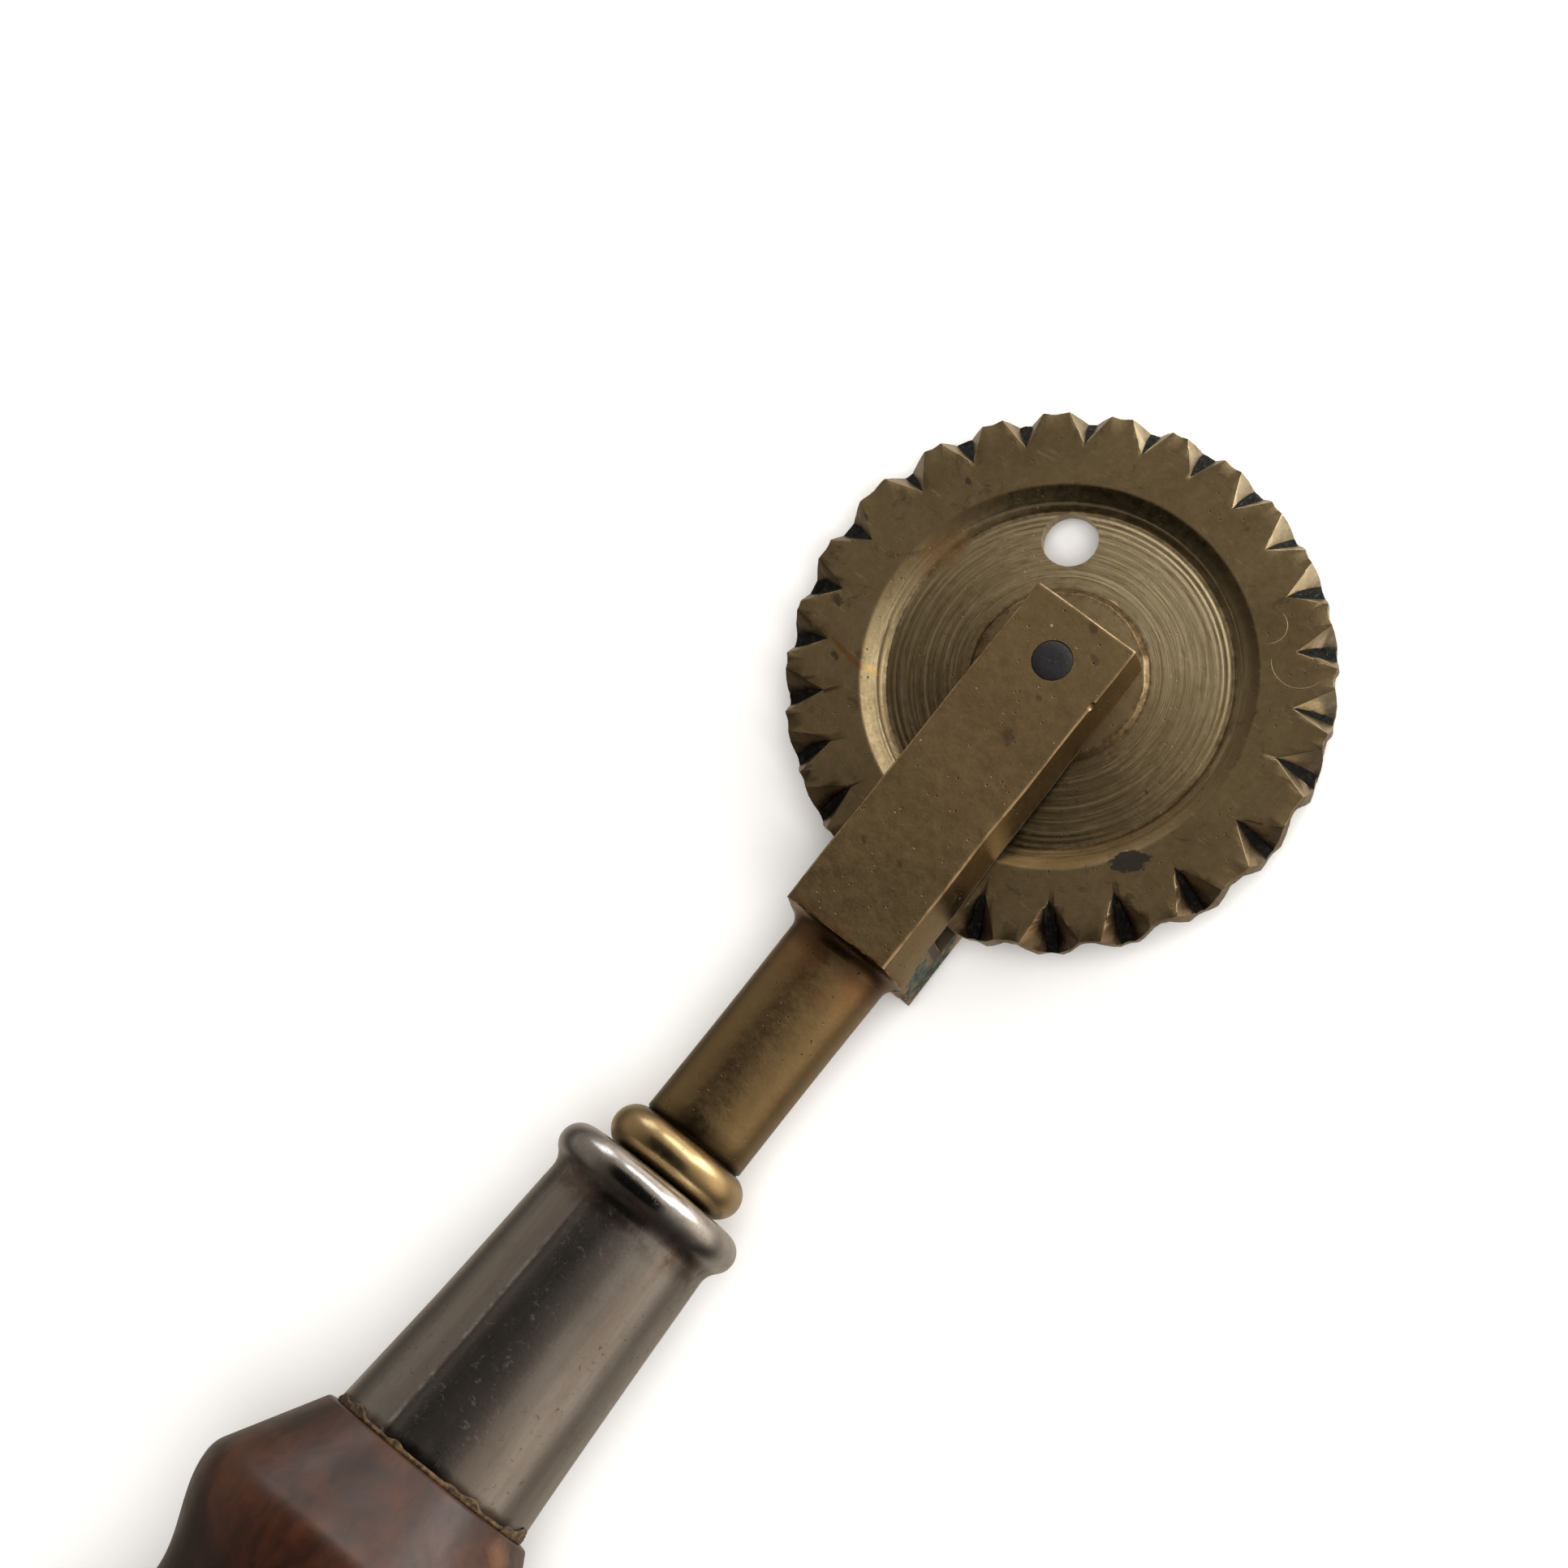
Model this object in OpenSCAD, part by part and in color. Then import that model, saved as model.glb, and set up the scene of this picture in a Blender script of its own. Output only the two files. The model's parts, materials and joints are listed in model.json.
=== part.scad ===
// Antique pastry jagger: a notched brass wheel that rolls in a brass fork,
// carried by a steel ferrule on a turned wooden handle.
// +X runs along the tool towards the wheel, +Z along the axle.
// The origin is halfway along the tool, on its axis.

/* [Overall] */
// Length from the end of the handle to the rim of the wheel
overall_len = 191.5; // [170:0.5:210]

/* [Wheel] */
// Diameter over the rim
wheel_d = 45; // [44:0.5:46]
// Thickness of the rim
wheel_t = 3.4; // [3:0.1:3.5]
// Radius where the flat rim ends and the dish begins
dish_r = 16.2; // [15.8:0.1:16.6]
// Radial width of the sloping dish wall
dish_wall = 2; // [1.5:0.1:2.4]
// Thickness of the web at the foot of the dish wall
web_t = 1.6; // [1.2:0.1:2]
// Radius of the hub boss
boss_r = 7; // [6.5:0.1:7.5]
// Diameter of the hanging hole through the web
hole_d = 4.7; // [4:0.1:4.7]
// Distance from the axle to the hanging hole
hole_at = 11.75; // [11.5:0.05:11.8]
// Direction of the hanging hole, counted from +X
hole_angle = 34; // [0:1:359]

/* [Teeth] */
// Radial length of a filed notch, on average
notch_len = 3.3; // [2.6:0.1:3.6]
// How much longer or shorter the notches get around the wheel
notch_drift = 0.5; // [0:0.1:0.6]
// Metal left between the foot of a notch and the other face
notch_land = 0.4; // [0.2:0.1:0.8]
// Half of the angle between the two walls of a notch
notch_half_angle = 35; // [30:1:38]

/* [Axle] */
// Diameter of the rivet pin
pin_d = 3.4; // [3:0.1:3.6]
// Radial clearance of the wheel on the pin
pin_clearance = 0.05; // [0.02:0.01:0.1]

/* [Fork] */
// Width of the fork block
fork_w = 10; // [9.6:0.1:10.4]
// Thickness of the fork block, along the axle
fork_t = 11.6; // [11:0.1:12.4]
// Distance from the axle to the tip of the ears
fork_tip = 4.6; // [4:0.1:6]
// Distance from the axle to the shoulder of the block
fork_back = 28; // [27:0.5:30]
// Gap between the ears
slot_w = 3.7; // [3.6:0.05:3.9]
// Distance from the axle to the floor of the slot
slot_back = 24.6; // [23.5:0.1:25]
// Radius of the round neck
neck_r = 4.62; // [4.4:0.02:4.8]
// Radius of the blend from neck to block
neck_blend = 1.2; // [0.8:0.1:1.5]

/* [Collar] */
// Distance from the axle to the front of the collar ring
collar_at = 47.8; // [46:0.1:50]
// Width of the collar ring
collar_w = 4; // [3.6:0.1:4.4]
// Outer radius of the collar ring
collar_r = 6.2; // [6:0.1:6.6]

/* [Ferrule] */
// Length of the ferrule
ferrule_len = 29.1; // [27:0.1:31]
// Radius at the mouth, beside the wood
ferrule_mouth_r = 9.15; // [8.9:0.05:9.3]
// Radius just below the rolled bead
ferrule_top_r = 7.55; // [7.4:0.05:7.7]
// Outer radius of the rolled bead
ferrule_bead_r = 8.65; // [8.4:0.05:8.9]
// Radius of the roll of the bead
ferrule_roll = 1.75; // [1.5:0.05:1.9]
// Radius of the hollow behind the bead
ferrule_hollow = 1.8; // [1.2:0.1:2.4]
// Thickness of the ferrule's sheet steel
ferrule_wall = 0.8; // [0.6:0.1:1]

/* [Handle] */
// Radius of the shoulder where the cone begins
shoulder_r = 10.1; // [9.8:0.1:10.6]
// Radius of the crest behind the ferrule
crest_r = 14.8; // [14.2:0.1:15.2]
// Distance from the ferrule to the crest
crest_at = 9.8; // [9:0.1:11]
// Radius of the waist
waist_r = 12; // [11.5:0.1:12.4]
// Distance from the ferrule to the waist
waist_at = 20; // [18:0.5:22]
// Radius of the grip at its fullest
grip_r = 14.4; // [13.5:0.1:14.8]
// Radius of the grip before its rounded end
tail_r = 10.6; // [9.5:0.1:12]

/* [Hidden] */
$fn = 128;
eps = 0.01;
clear = 1;
wheel_r = wheel_d / 2;
wheel_x = overall_len / 2 - wheel_r;
pin_r = pin_d / 2;
bore_r = pin_r + pin_clearance;
boss_foot = 0.35;
boss_foot_t = 2.5;
rim_bevel = 0.15;
arris = 0.25;
tang_w = 4;
tang_len = 36;
tang_point = 5;
tang_tip_w = 1;
spigot_r = 3.2;
spigot_gap = 0.03;
flange_t = 1;
flange_gap = 0.3;
ferrule_front = collar_at + collar_w;
ferrule_back = ferrule_front + ferrule_len;
bead_at = ferrule_front + ferrule_roll;
bead_centre_r = ferrule_bead_r - ferrule_roll;
resin_gap = 0.03;
resin_t = 0.25;
resin_lip = 0.35;
resin_lip_r = ferrule_mouth_r + 0.2;
tenon_front = ferrule_front + 4.2;
handle_back = overall_len - wheel_r;

// Directions of the hand-filed notches on the upper face, counted from +X
NOTCHES = [46, 32, 18, 5, -8, -21, -34, -48, -62, -75, -93, -112, -128, -144, -160,
           -175, -190, -204, -217, -230, -243, -256, -270, -287, -301];

// Half-circle easing from 0 to 1
function ease(t) = (1 - cos(180 * t)) / 2;
// Points [r, x] along a soft curve from one [r, x] to another
function soft(a, b, steps) =
    [for (i = [1 : steps]) let (t = i / steps)
        [a[0] + (b[0] - a[0]) * ease(t), a[1] + (b[1] - a[1]) * t]];
// Points [r, x] on an arc about [cr, cx], angles counted from +r towards +x
function arc(cr, cx, radius, from, to, steps) =
    [for (i = [0 : steps]) let (a = from + (to - from) * i / steps)
        [cr + radius * cos(a), cx + radius * sin(a)]];
// Radius of the ferrule's outside at a distance behind the axle
function ferrule_r(d) =
    ferrule_top_r + (ferrule_mouth_r - ferrule_top_r)
    * (d - bead_at) / (ferrule_back - bead_at);
// Radius of the wooden tenon inside the ferrule
function tenon_r(d) = ferrule_r(d) - ferrule_wall - resin_t - 2 * resin_gap;

// Puts a part measured from the axle into the row frame
module from_axle() {
    translate([wheel_x, 0, 0]) children();
}

// Turns an outline of [r, x] points about the tool's axis
module turned(points) {
    from_axle() rotate([0, 90, 0]) rotate_extrude() polygon(points);
}

// The cut of a three-square file: from the upper face down to the foot of the rim
module notch_cut(run) {
    slope = atan((wheel_t - notch_land) / run);
    reach = 2 * notch_len + clear;
    depth = wheel_t + 2 * clear;
    translate([wheel_r - run, 0, wheel_t / 2])
        rotate([0, slope, 0])
            translate([-clear, 0, 0]) rotate([90, 0, 90])
                linear_extrude(height = reach)
                    polygon([[0, 0],
                             [depth * tan(notch_half_angle), depth],
                             [-depth * tan(notch_half_angle), depth]]);
}

// One notch in a given direction; the notches opposite the hole are longer
module notch(direction) {
    rotate([0, 0, direction])
        notch_cut(notch_len - notch_drift * cos(direction - hole_angle));
}

module wheel_blank() {
    upper = [
        [bore_r, wheel_t / 2],
        [boss_r, wheel_t / 2],
        [boss_r + boss_foot, boss_foot_t / 2],
        [hole_at - hole_d / 2 - rim_bevel, web_t / 2],
        [dish_r - dish_wall, web_t / 2],
        [dish_r, wheel_t / 2],
        [wheel_r - rim_bevel, wheel_t / 2],
        [wheel_r, wheel_t / 2 - rim_bevel]
    ];
    lower = [for (i = [len(upper) - 1 : -1 : 0]) [upper[i][0], -upper[i][1]]];
    rotate_extrude() polygon(concat(upper, lower));
}

module wheel() {
    count = len(NOTCHES);
    color([0.47, 0.40, 0.26])
        from_axle() difference() {
            wheel_blank();
            rotate([0, 0, hole_angle]) translate([hole_at, 0, 0])
                cylinder(h = wheel_t + clear, d = hole_d, center = true);
            for (i = [0 : count - 1]) {
                next = i < count - 1 ? NOTCHES[i + 1] : NOTCHES[0] - 360;
                notch(NOTCHES[i]);
                mirror([0, 0, 1]) notch((NOTCHES[i] + next) / 2);
            }
        }
}

module axle_pin() {
    color([0.13, 0.12, 0.13])
        from_axle() cylinder(h = fork_t, r = pin_r, center = true);
}

// Square bar with its four long edges taken off, along the tool from back to front
module bar(w, t, bevel, back, front) {
    a = w / 2;
    b = t / 2;
    translate([-back, 0, 0]) rotate([90, 0, 90])
        linear_extrude(height = back + front)
            polygon([[a, b - bevel], [a - bevel, b], [bevel - a, b], [-a, b - bevel],
                     [-a, bevel - b], [bevel - a, -b], [a - bevel, -b], [a, bevel - b]]);
}

module fork_body() {
    corner_r = norm([fork_w, fork_t]) / 2;
    blend = arc(neck_r + neck_blend, -fork_back - neck_blend, neck_blend, 180, 90, 8);
    from_axle() {
        difference() {
            intersection() {
                bar(fork_w, fork_t, arris, fork_back + neck_blend, fork_tip);
                rotate([0, 90, 0]) rotate_extrude()
                    polygon(concat([[0, -fork_back - neck_blend]], blend,
                                   [[corner_r, -fork_back], [corner_r, fork_tip + clear],
                                    [0, fork_tip + clear]]));
            }
            translate([-slot_back, -fork_w, -slot_w / 2])
                cube([slot_back + fork_tip + clear, 2 * fork_w, slot_w]);
            cylinder(h = fork_t + clear, r = pin_r, center = true);
        }
        rotate([0, 90, 0]) rotate_extrude()
            polygon([[0, -ferrule_front - flange_t], [spigot_r, -ferrule_front - flange_t],
                     [spigot_r, -collar_at], [neck_r, -collar_at],
                     [neck_r, -fork_back - neck_blend + eps],
                     [0, -fork_back - neck_blend + eps]]);
        tang();
    }
}

// Hidden square tang with a four-sided point, driven into the wood
module tang() {
    front = ferrule_front + flange_t - eps;
    back = ferrule_front + flange_t + tang_len;
    a = tang_w / 2;
    tip = tang_tip_w / 2;
    pencil = [[-front, a], [-back, a], [-back - tang_point, tip],
              [-back - tang_point, -tip], [-back, -a], [-front, -a]];
    intersection() {
        linear_extrude(height = tang_w, center = true) polygon(pencil);
        rotate([90, 0, 0]) linear_extrude(height = tang_w, center = true) polygon(pencil);
    }
}

module fork() {
    color([0.49, 0.41, 0.24]) fork_body();
}

module collar_ring() {
    roll = collar_w / 2;
    bore = spigot_r + spigot_gap;
    color([0.55, 0.46, 0.24])
        turned(concat([[bore, -collar_at]],
                      arc(collar_r - roll, -collar_at - roll, roll, 90, -90, 24),
                      [[bore, -ferrule_front]]));
}

module ferrule() {
    bore = spigot_r + flange_gap;
    inner = ferrule_front + flange_t;
    hollow_centre_r = ferrule_top_r + ferrule_hollow;
    rise = hollow_centre_r - bead_centre_r;
    reach = sqrt(pow(ferrule_roll + ferrule_hollow, 2) - pow(rise, 2));
    meets = atan2(reach, rise);
    color([0.45, 0.44, 0.44])
        turned(concat(
            [[bore, -inner], [bore, -ferrule_front]],
            arc(bead_centre_r, -bead_at, ferrule_roll, 90, -meets, 24),
            arc(hollow_centre_r, -bead_at - reach, ferrule_hollow, 180 - meets, 180, 8),
            [[ferrule_mouth_r, -ferrule_back],
             [ferrule_mouth_r - ferrule_wall, -ferrule_back],
             [ferrule_r(inner) - ferrule_wall, -inner]]));
}

// Pitch that beds the tenon in the ferrule and shows as a thin line at its mouth
module resin_bedding() {
    front = ferrule_front + flange_t + resin_gap;
    lip_front = ferrule_back + resin_gap;
    lip_back = ferrule_back + resin_lip;
    side = ferrule_wall + resin_gap;
    color([0.34, 0.24, 0.11])
        difference() {
            turned([[0, -front], [ferrule_r(front) - side, -front],
                    [ferrule_r(lip_front) - side, -lip_front],
                    [resin_lip_r - resin_t, -lip_front],
                    [resin_lip_r, -(lip_front + lip_back) / 2],
                    [resin_lip_r - resin_t, -lip_back],
                    [tenon_r(lip_back) + resin_gap, -lip_back],
                    [tenon_r(tenon_front) + resin_gap, -tenon_front + resin_gap],
                    [0, -tenon_front + resin_gap]]);
            from_axle() tang();
        }
}

module handle() {
    roll = 2.6;
    seat = ferrule_back + resin_lip + resin_gap;
    crest = ferrule_back + crest_at;
    waist = ferrule_back + waist_at;
    grip = waist + 30;
    dome = 7;
    tail = handle_back - dome;
    cone_angle = atan((crest_r - shoulder_r) / crest_at) + 4;
    color([0.30, 0.15, 0.08])
        difference() {
            turned(concat(
                [[0, -tenon_front], [tenon_r(tenon_front), -tenon_front],
                 [tenon_r(seat), -seat], [resin_lip_r + 0.1, -seat],
                 [shoulder_r, -seat - 0.5]],
                arc(crest_r - roll, -crest, roll, cone_angle, 0, 8),
                soft([crest_r, -crest], [waist_r, -waist], 16),
                soft([waist_r, -waist], [grip_r, -grip], 16),
                soft([grip_r, -grip], [tail_r, -tail], 18),
                [for (i = [1 : 12]) let (a = 7.5 * i)
                    [i < 12 ? tail_r * cos(a) : 0, -tail - dome * sin(a)]]));
            from_axle() tang();
        }
}

wheel();
axle_pin();
fork();
collar_ring();
ferrule();
resin_bedding();
handle();
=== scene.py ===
"""The looks of an antique pastry jagger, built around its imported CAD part.

Lengths are millimetres in this script's named values and metres in Blender, in the part's own frame:
+X runs along the tool towards the wheel, +Z along the axle, and the origin is halfway along the tool.
"""

import json
import math
import random

import bmesh
import bpy
from mathutils import Matrix, Vector, noise


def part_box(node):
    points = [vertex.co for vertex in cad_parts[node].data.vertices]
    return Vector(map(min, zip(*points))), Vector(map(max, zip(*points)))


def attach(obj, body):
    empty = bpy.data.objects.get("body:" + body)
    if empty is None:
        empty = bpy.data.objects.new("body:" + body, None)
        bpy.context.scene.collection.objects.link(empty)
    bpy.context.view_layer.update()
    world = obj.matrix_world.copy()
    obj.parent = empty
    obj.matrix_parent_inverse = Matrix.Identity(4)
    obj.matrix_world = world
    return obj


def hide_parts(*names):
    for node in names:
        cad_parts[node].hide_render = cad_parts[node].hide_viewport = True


MM = 0.001
TURN = 2 * math.pi

# ---------------------------------------------------------------- the frame and what is read from it

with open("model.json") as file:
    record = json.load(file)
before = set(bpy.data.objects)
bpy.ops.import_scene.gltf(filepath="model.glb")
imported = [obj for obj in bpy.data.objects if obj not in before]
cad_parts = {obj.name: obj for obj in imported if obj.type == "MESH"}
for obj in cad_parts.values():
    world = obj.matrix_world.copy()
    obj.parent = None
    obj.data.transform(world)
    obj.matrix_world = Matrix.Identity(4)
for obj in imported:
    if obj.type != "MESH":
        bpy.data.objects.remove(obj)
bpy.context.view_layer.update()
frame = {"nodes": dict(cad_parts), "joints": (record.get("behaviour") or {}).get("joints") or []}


def span(node, axis):
    """Lowest and highest value of a CAD node along an axis, in millimetres."""
    low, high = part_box(node)
    return low[axis] / MM, high[axis] / MM


AXLE = [v / MM for v in frame["joints"][0]["pos_m"]]
AX = AXLE[0]
WHEEL_R = (span("wheel", 0)[1] - span("wheel", 0)[0]) / 2
WHEEL_H = span("wheel", 2)[1]
PIN_R = (span("axle_pin", 0)[1] - span("axle_pin", 0)[0]) / 2
EAR_H = span("axle_pin", 2)[1]
FORK_TIP = span("fork", 0)[1] - AX
FORK_W = span("fork", 1)[1]
COLLAR_BACK, COLLAR_FRONT = (v - AX for v in span("collar_ring", 0))
COLLAR_R = span("collar_ring", 1)[1]
FERRULE_BACK, FERRULE_FRONT = (v - AX for v in span("ferrule", 0))
FERRULE_MOUTH_R = span("ferrule", 1)[1]
RESIN_BACK = span("resin_bedding", 0)[0] - AX
RESIN_R = span("resin_bedding", 1)[1]
HANDLE_BACK = span("handle", 0)[0] - AX
CREST_R = span("handle", 1)[1]

# The rest repeats part.scad's driving sizes. Places along X are counted from the axle.
BORE_R = PIN_R + 0.05
BOSS_R, BOSS_FOOT_R, BOSS_FOOT_H = 7.0, 7.35, 1.25
DISH_R, DISH_FOOT_R, WEB_H = 16.2, 14.2, 0.8
HOLE_R, HOLE_AT, HOLE_ANGLE = 2.35, 11.75, math.radians(34)
NOTCH_HALF_ANGLE, NOTCH_FILL = math.radians(40), 0.62
FORK_BACK, NECK_BLEND, NECK_R = -28.0, 1.2, 4.62
SLOT_BACK, SLOT_H = -23.4, 1.85
SPIGOT_R = 3.2
FERRULE_TOP_R, FERRULE_BEAD_R, FERRULE_ROLL, FERRULE_HOLLOW, FERRULE_WALL = 7.55, 8.65, 1.75, 1.8, 0.8
SHOULDER_R, CREST_ROLL, CREST_AT = 10.1, 3.2, 9.8
WAIST_R, WAIST_AT = 12.0, 20.0
GRIP_R, GRIP_AT, TAIL_R, DOME = 14.4, 50.0, 10.6, 7.0

# Steps round a filed bar's edge, and the width of the flat strip that holds the edge's shape.
EDGE_STEPS, EDGE_SUPPORT = 4, 0.2
# How far the rim is worn back at a notch, and how far to each side.
RIM_WEAR, RIM_WEAR_REACH = 0.20, 0.8
# Numbers of the wheel's materials, in the order of its slots.
NOTCH_UPPER, NOTCH_LOWER, WORN_RIM, DIRT = 1, 2, 3, 4

# ---------------------------------------------------------------- mesh helpers


def linked(name, bm, materials):
    """An object in the scene from a bmesh, with its materials."""
    mesh = bpy.data.meshes.new(name)
    bm.to_mesh(mesh)
    bm.free()
    for material in materials:
        mesh.materials.append(material)
    thing = bpy.data.objects.new(name, mesh)
    bpy.context.scene.collection.objects.link(thing)
    return thing


def finished(name, bm, body, node, materials, sharp=35):
    """A named piece from a bmesh in millimetres, riding on a body in place of a CAD node."""
    bmesh.ops.remove_doubles(bm, verts=bm.verts, dist=1e-4)
    bmesh.ops.recalc_face_normals(bm, faces=bm.faces)
    piece = linked(name, bm, materials)
    piece.data.transform(Matrix.Scale(MM, 4))
    for polygon in piece.data.polygons:
        polygon.use_smooth = True
    piece.data.set_sharp_from_angle(angle=math.radians(sharp))
    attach(piece, body)
    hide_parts(node)
    return piece


def lathe(outline, steps, axis, closed, material=0):
    """A bmesh turned about the X axis, or about the axle for axis Z, from (along, radius) points.
    An open outline starts and ends at radius 0, and a closed one runs round a ring's section."""
    bm = bmesh.new()
    rings = []
    for along, radius in outline:
        ring = []
        for i in range(steps if radius > 1e-6 else 1):
            a = TURN * i / steps
            u, v = radius * math.cos(a), radius * math.sin(a)
            ring.append(bm.verts.new((AX + along, u, v) if axis == "X" else (AX + u, v, along)))
        rings.append(ring)
    pairs = list(zip(rings, rings[1:]))
    if closed:
        pairs.append((rings[-1], rings[0]))
    for a, b in pairs:
        for i in range(steps):
            j = (i + 1) % steps
            corners = [a[i % len(a)], a[j % len(a)], b[j % len(b)], b[i % len(b)]]
            unique = list(dict.fromkeys(corners))
            if len(unique) > 2:
                bm.faces.new(unique).material_index = material
    bmesh.ops.recalc_face_normals(bm, faces=bm.faces)
    return bm


def rounded_block(low, high, cells, wobble, seed):
    """A bmesh box cut into cells, with its surface slightly uneven, as filed by hand."""
    bm = bmesh.new()
    size = [b - a for a, b in zip(low, high)]
    counts = [max(1, round(s / cells)) for s in size]
    points = {}

    def point(i, j, k):
        if (i, j, k) not in points:
            at = Vector(a + s * n / c for a, s, n, c in zip(low, size, (i, j, k), counts))
            shift = noise.noise_vector(at * 0.35 + Vector((seed, 0, 0))) * wobble
            points[i, j, k] = bm.verts.new(at + shift)
        return points[i, j, k]

    for axis in range(3):
        u, v = (axis + 1) % 3, (axis + 2) % 3
        for end in (0, counts[axis]):
            for a in range(counts[u]):
                for b in range(counts[v]):
                    corners = []
                    for da, db in ((0, 0), (1, 0), (1, 1), (0, 1)):
                        index = [0, 0, 0]
                        index[axis], index[u], index[v] = end, a + da, b + db
                        corners.append(point(*index))
                    bm.faces.new(corners)
    bmesh.ops.recalc_face_normals(bm, faces=bm.faces)
    return bm


def bar_section(half, rounding, radius, cells):
    """(y, z, whether a rounded edge starts here) round a bar's section, for a corner radius."""
    points = []
    for quarter in range(4):
        sign_y = 1 if quarter in (0, 3) else -1
        sign_z = 1 if quarter in (0, 1) else -1
        cy, cz = sign_y * (half[1] - rounding), sign_z * (half[2] - rounding)
        for i in range(EDGE_STEPS + 1):
            a = math.pi / 2 * (quarter + i / EDGE_STEPS)
            points.append((cy + radius * math.cos(a), cz + radius * math.sin(a), i < EDGE_STEPS))
        flat = 2 * (half[1 + quarter % 2] - rounding)
        count = max(2, round(flat / cells))
        margin = EDGE_SUPPORT / flat
        shares = [margin, *[j / count for j in range(1, count)], 1 - margin]
        a = math.pi / 2 * (quarter + 1)
        step_y, step_z = -math.sin(a), math.cos(a)
        y, z, _ = points[-1]
        points += [(y + step_y * flat * t, z + step_z * flat * t, False) for t in shares]
    return points


def bar_stations(low, high, rounding, cells):
    """(x, corner radius) of each ring along a bar, from its rounded end at high to low."""
    stations = []
    for i in range(EDGE_STEPS + 1):
        a = math.pi / 2 * i / EDGE_STEPS
        stations.append((high - rounding * (1 - math.cos(a)), rounding * math.sin(a)))
    x = high - rounding - EDGE_SUPPORT
    while x > low:
        stations.append((x, rounding))
        x -= cells
    stations.append((low, rounding))
    return stations


def filed_bar(low, high, rounding, cells, wobble, seed):
    """A bmesh bar along X with rounded edges, a little uneven. The rounded edges take material 1."""
    bm = bmesh.new()
    half = [(b - a) / 2 for a, b in zip(low, high)]
    centre = [(b + a) / 2 for a, b in zip(low, high)]
    rings = []
    for x, radius in bar_stations(low[0], high[0], rounding, cells):
        ring = []
        for y, z, _ in bar_section(half, rounding, max(radius, 0.002), cells):
            at = Vector((x, centre[1] + y, centre[2] + z))
            ring.append(bm.verts.new(at + noise.noise_vector(at * 0.14 + Vector((seed, 0, 0))) * wobble))
        rings.append(ring)
    corners = [corner for _, _, corner in bar_section(half, rounding, rounding, cells)]
    for k, (a, b) in enumerate(zip(rings, rings[1:])):
        for i in range(len(a)):
            j = (i + 1) % len(a)
            face = bm.faces.new((a[i], a[j], b[j], b[i]))
            face.material_index = 1 if corners[i] or k < EDGE_STEPS else 0
    bm.faces.new(rings[0])
    bm.faces.new(rings[-1])
    bmesh.ops.recalc_face_normals(bm, faces=bm.faces)
    return bm


def merged(*parts):
    """One bmesh holding several."""
    whole = bmesh.new()
    for part in parts:
        mesh = bpy.data.meshes.new("part")
        part.to_mesh(mesh)
        whole.from_mesh(mesh)
        part.free()
        bpy.data.meshes.remove(mesh)
    return whole


def carved(base, tool, operation="DIFFERENCE"):
    """The exact boolean of two bmeshes. Faces keep the material numbers that they had."""
    objects = [linked(label, bm, slot_stand_ins) for label, bm in (("base", base), ("tool", tool))]
    modifier = objects[0].modifiers.new("carve", "BOOLEAN")
    modifier.operation = operation
    modifier.solver = "EXACT"
    modifier.object = objects[1]
    bpy.context.view_layer.update()
    result = objects[0].evaluated_get(bpy.context.evaluated_depsgraph_get()).to_mesh()
    bm = bmesh.new()
    bm.from_mesh(result)
    objects[0].to_mesh_clear()
    for thing in objects:
        mesh = thing.data
        bpy.data.objects.remove(thing)
        bpy.data.meshes.remove(mesh)
    return bm


def without_crumbs(bm):
    """Drops the loose crumbs that carving leaves, and keeps the largest connected piece."""
    seen = set()
    islands = []
    for start in bm.verts:
        if start in seen:
            continue
        seen.add(start)
        island, waiting = [], [start]
        while waiting:
            vertex = waiting.pop()
            island.append(vertex)
            for edge in vertex.link_edges:
                other = edge.other_vert(vertex)
                if other not in seen:
                    seen.add(other)
                    waiting.append(other)
        islands.append(island)
    islands.sort(key=len)
    crumbs = [vertex for island in islands[:-1] for vertex in island]
    bmesh.ops.delete(bm, geom=crumbs, context="VERTS")


def soften(bm, width, segments=2, angle=28, keep=lambda edge: True, worn=-1):
    """Rounds the sharp edges, as handling does. The new faces may take a worn material's number."""
    bmesh.ops.dissolve_degenerate(bm, dist=1e-4, edges=bm.edges)
    limit = math.radians(angle)

    def has_room(edge):
        """A rounding that is wider than a neighbouring edge would fold over it."""
        neighbours = [other for vertex in edge.verts for other in vertex.link_edges]
        return all(other.calc_length() > 2.2 * width for other in neighbours)

    edges = [
        e
        for e in bm.edges
        if len(e.link_faces) == 2 and e.calc_face_angle(0) > limit and keep(e) and has_room(e)
    ]
    bmesh.ops.bevel(
        bm,
        geom=edges,
        offset=width,
        segments=segments,
        profile=0.5,
        affect="EDGES",
        clamp_overlap=False,
        material=worn,
    )
    return bm


def arc(cx, cr, radius, start, end, steps):
    """(along, radius) points on an arc, with angles in degrees from +radius towards +along."""
    points = []
    for i in range(steps + 1):
        a = math.radians(start + (end - start) * i / steps)
        points.append((cx + radius * math.sin(a), cr + radius * math.cos(a)))
    return points


def soft_curve(a, b, steps):
    """Points after a, along a half-cosine curve from (along, radius) a to b."""
    points = []
    for i in range(1, steps + 1):
        t = i / steps
        ease = (1 - math.cos(math.pi * t)) / 2
        points.append((a[0] + (b[0] - a[0]) * t, a[1] + (b[1] - a[1]) * ease))
    return points


slot_stand_ins = [bpy.data.materials.new(f"stand_in_{i}") for i in range(5)]

# ---------------------------------------------------------------- material helpers


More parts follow.
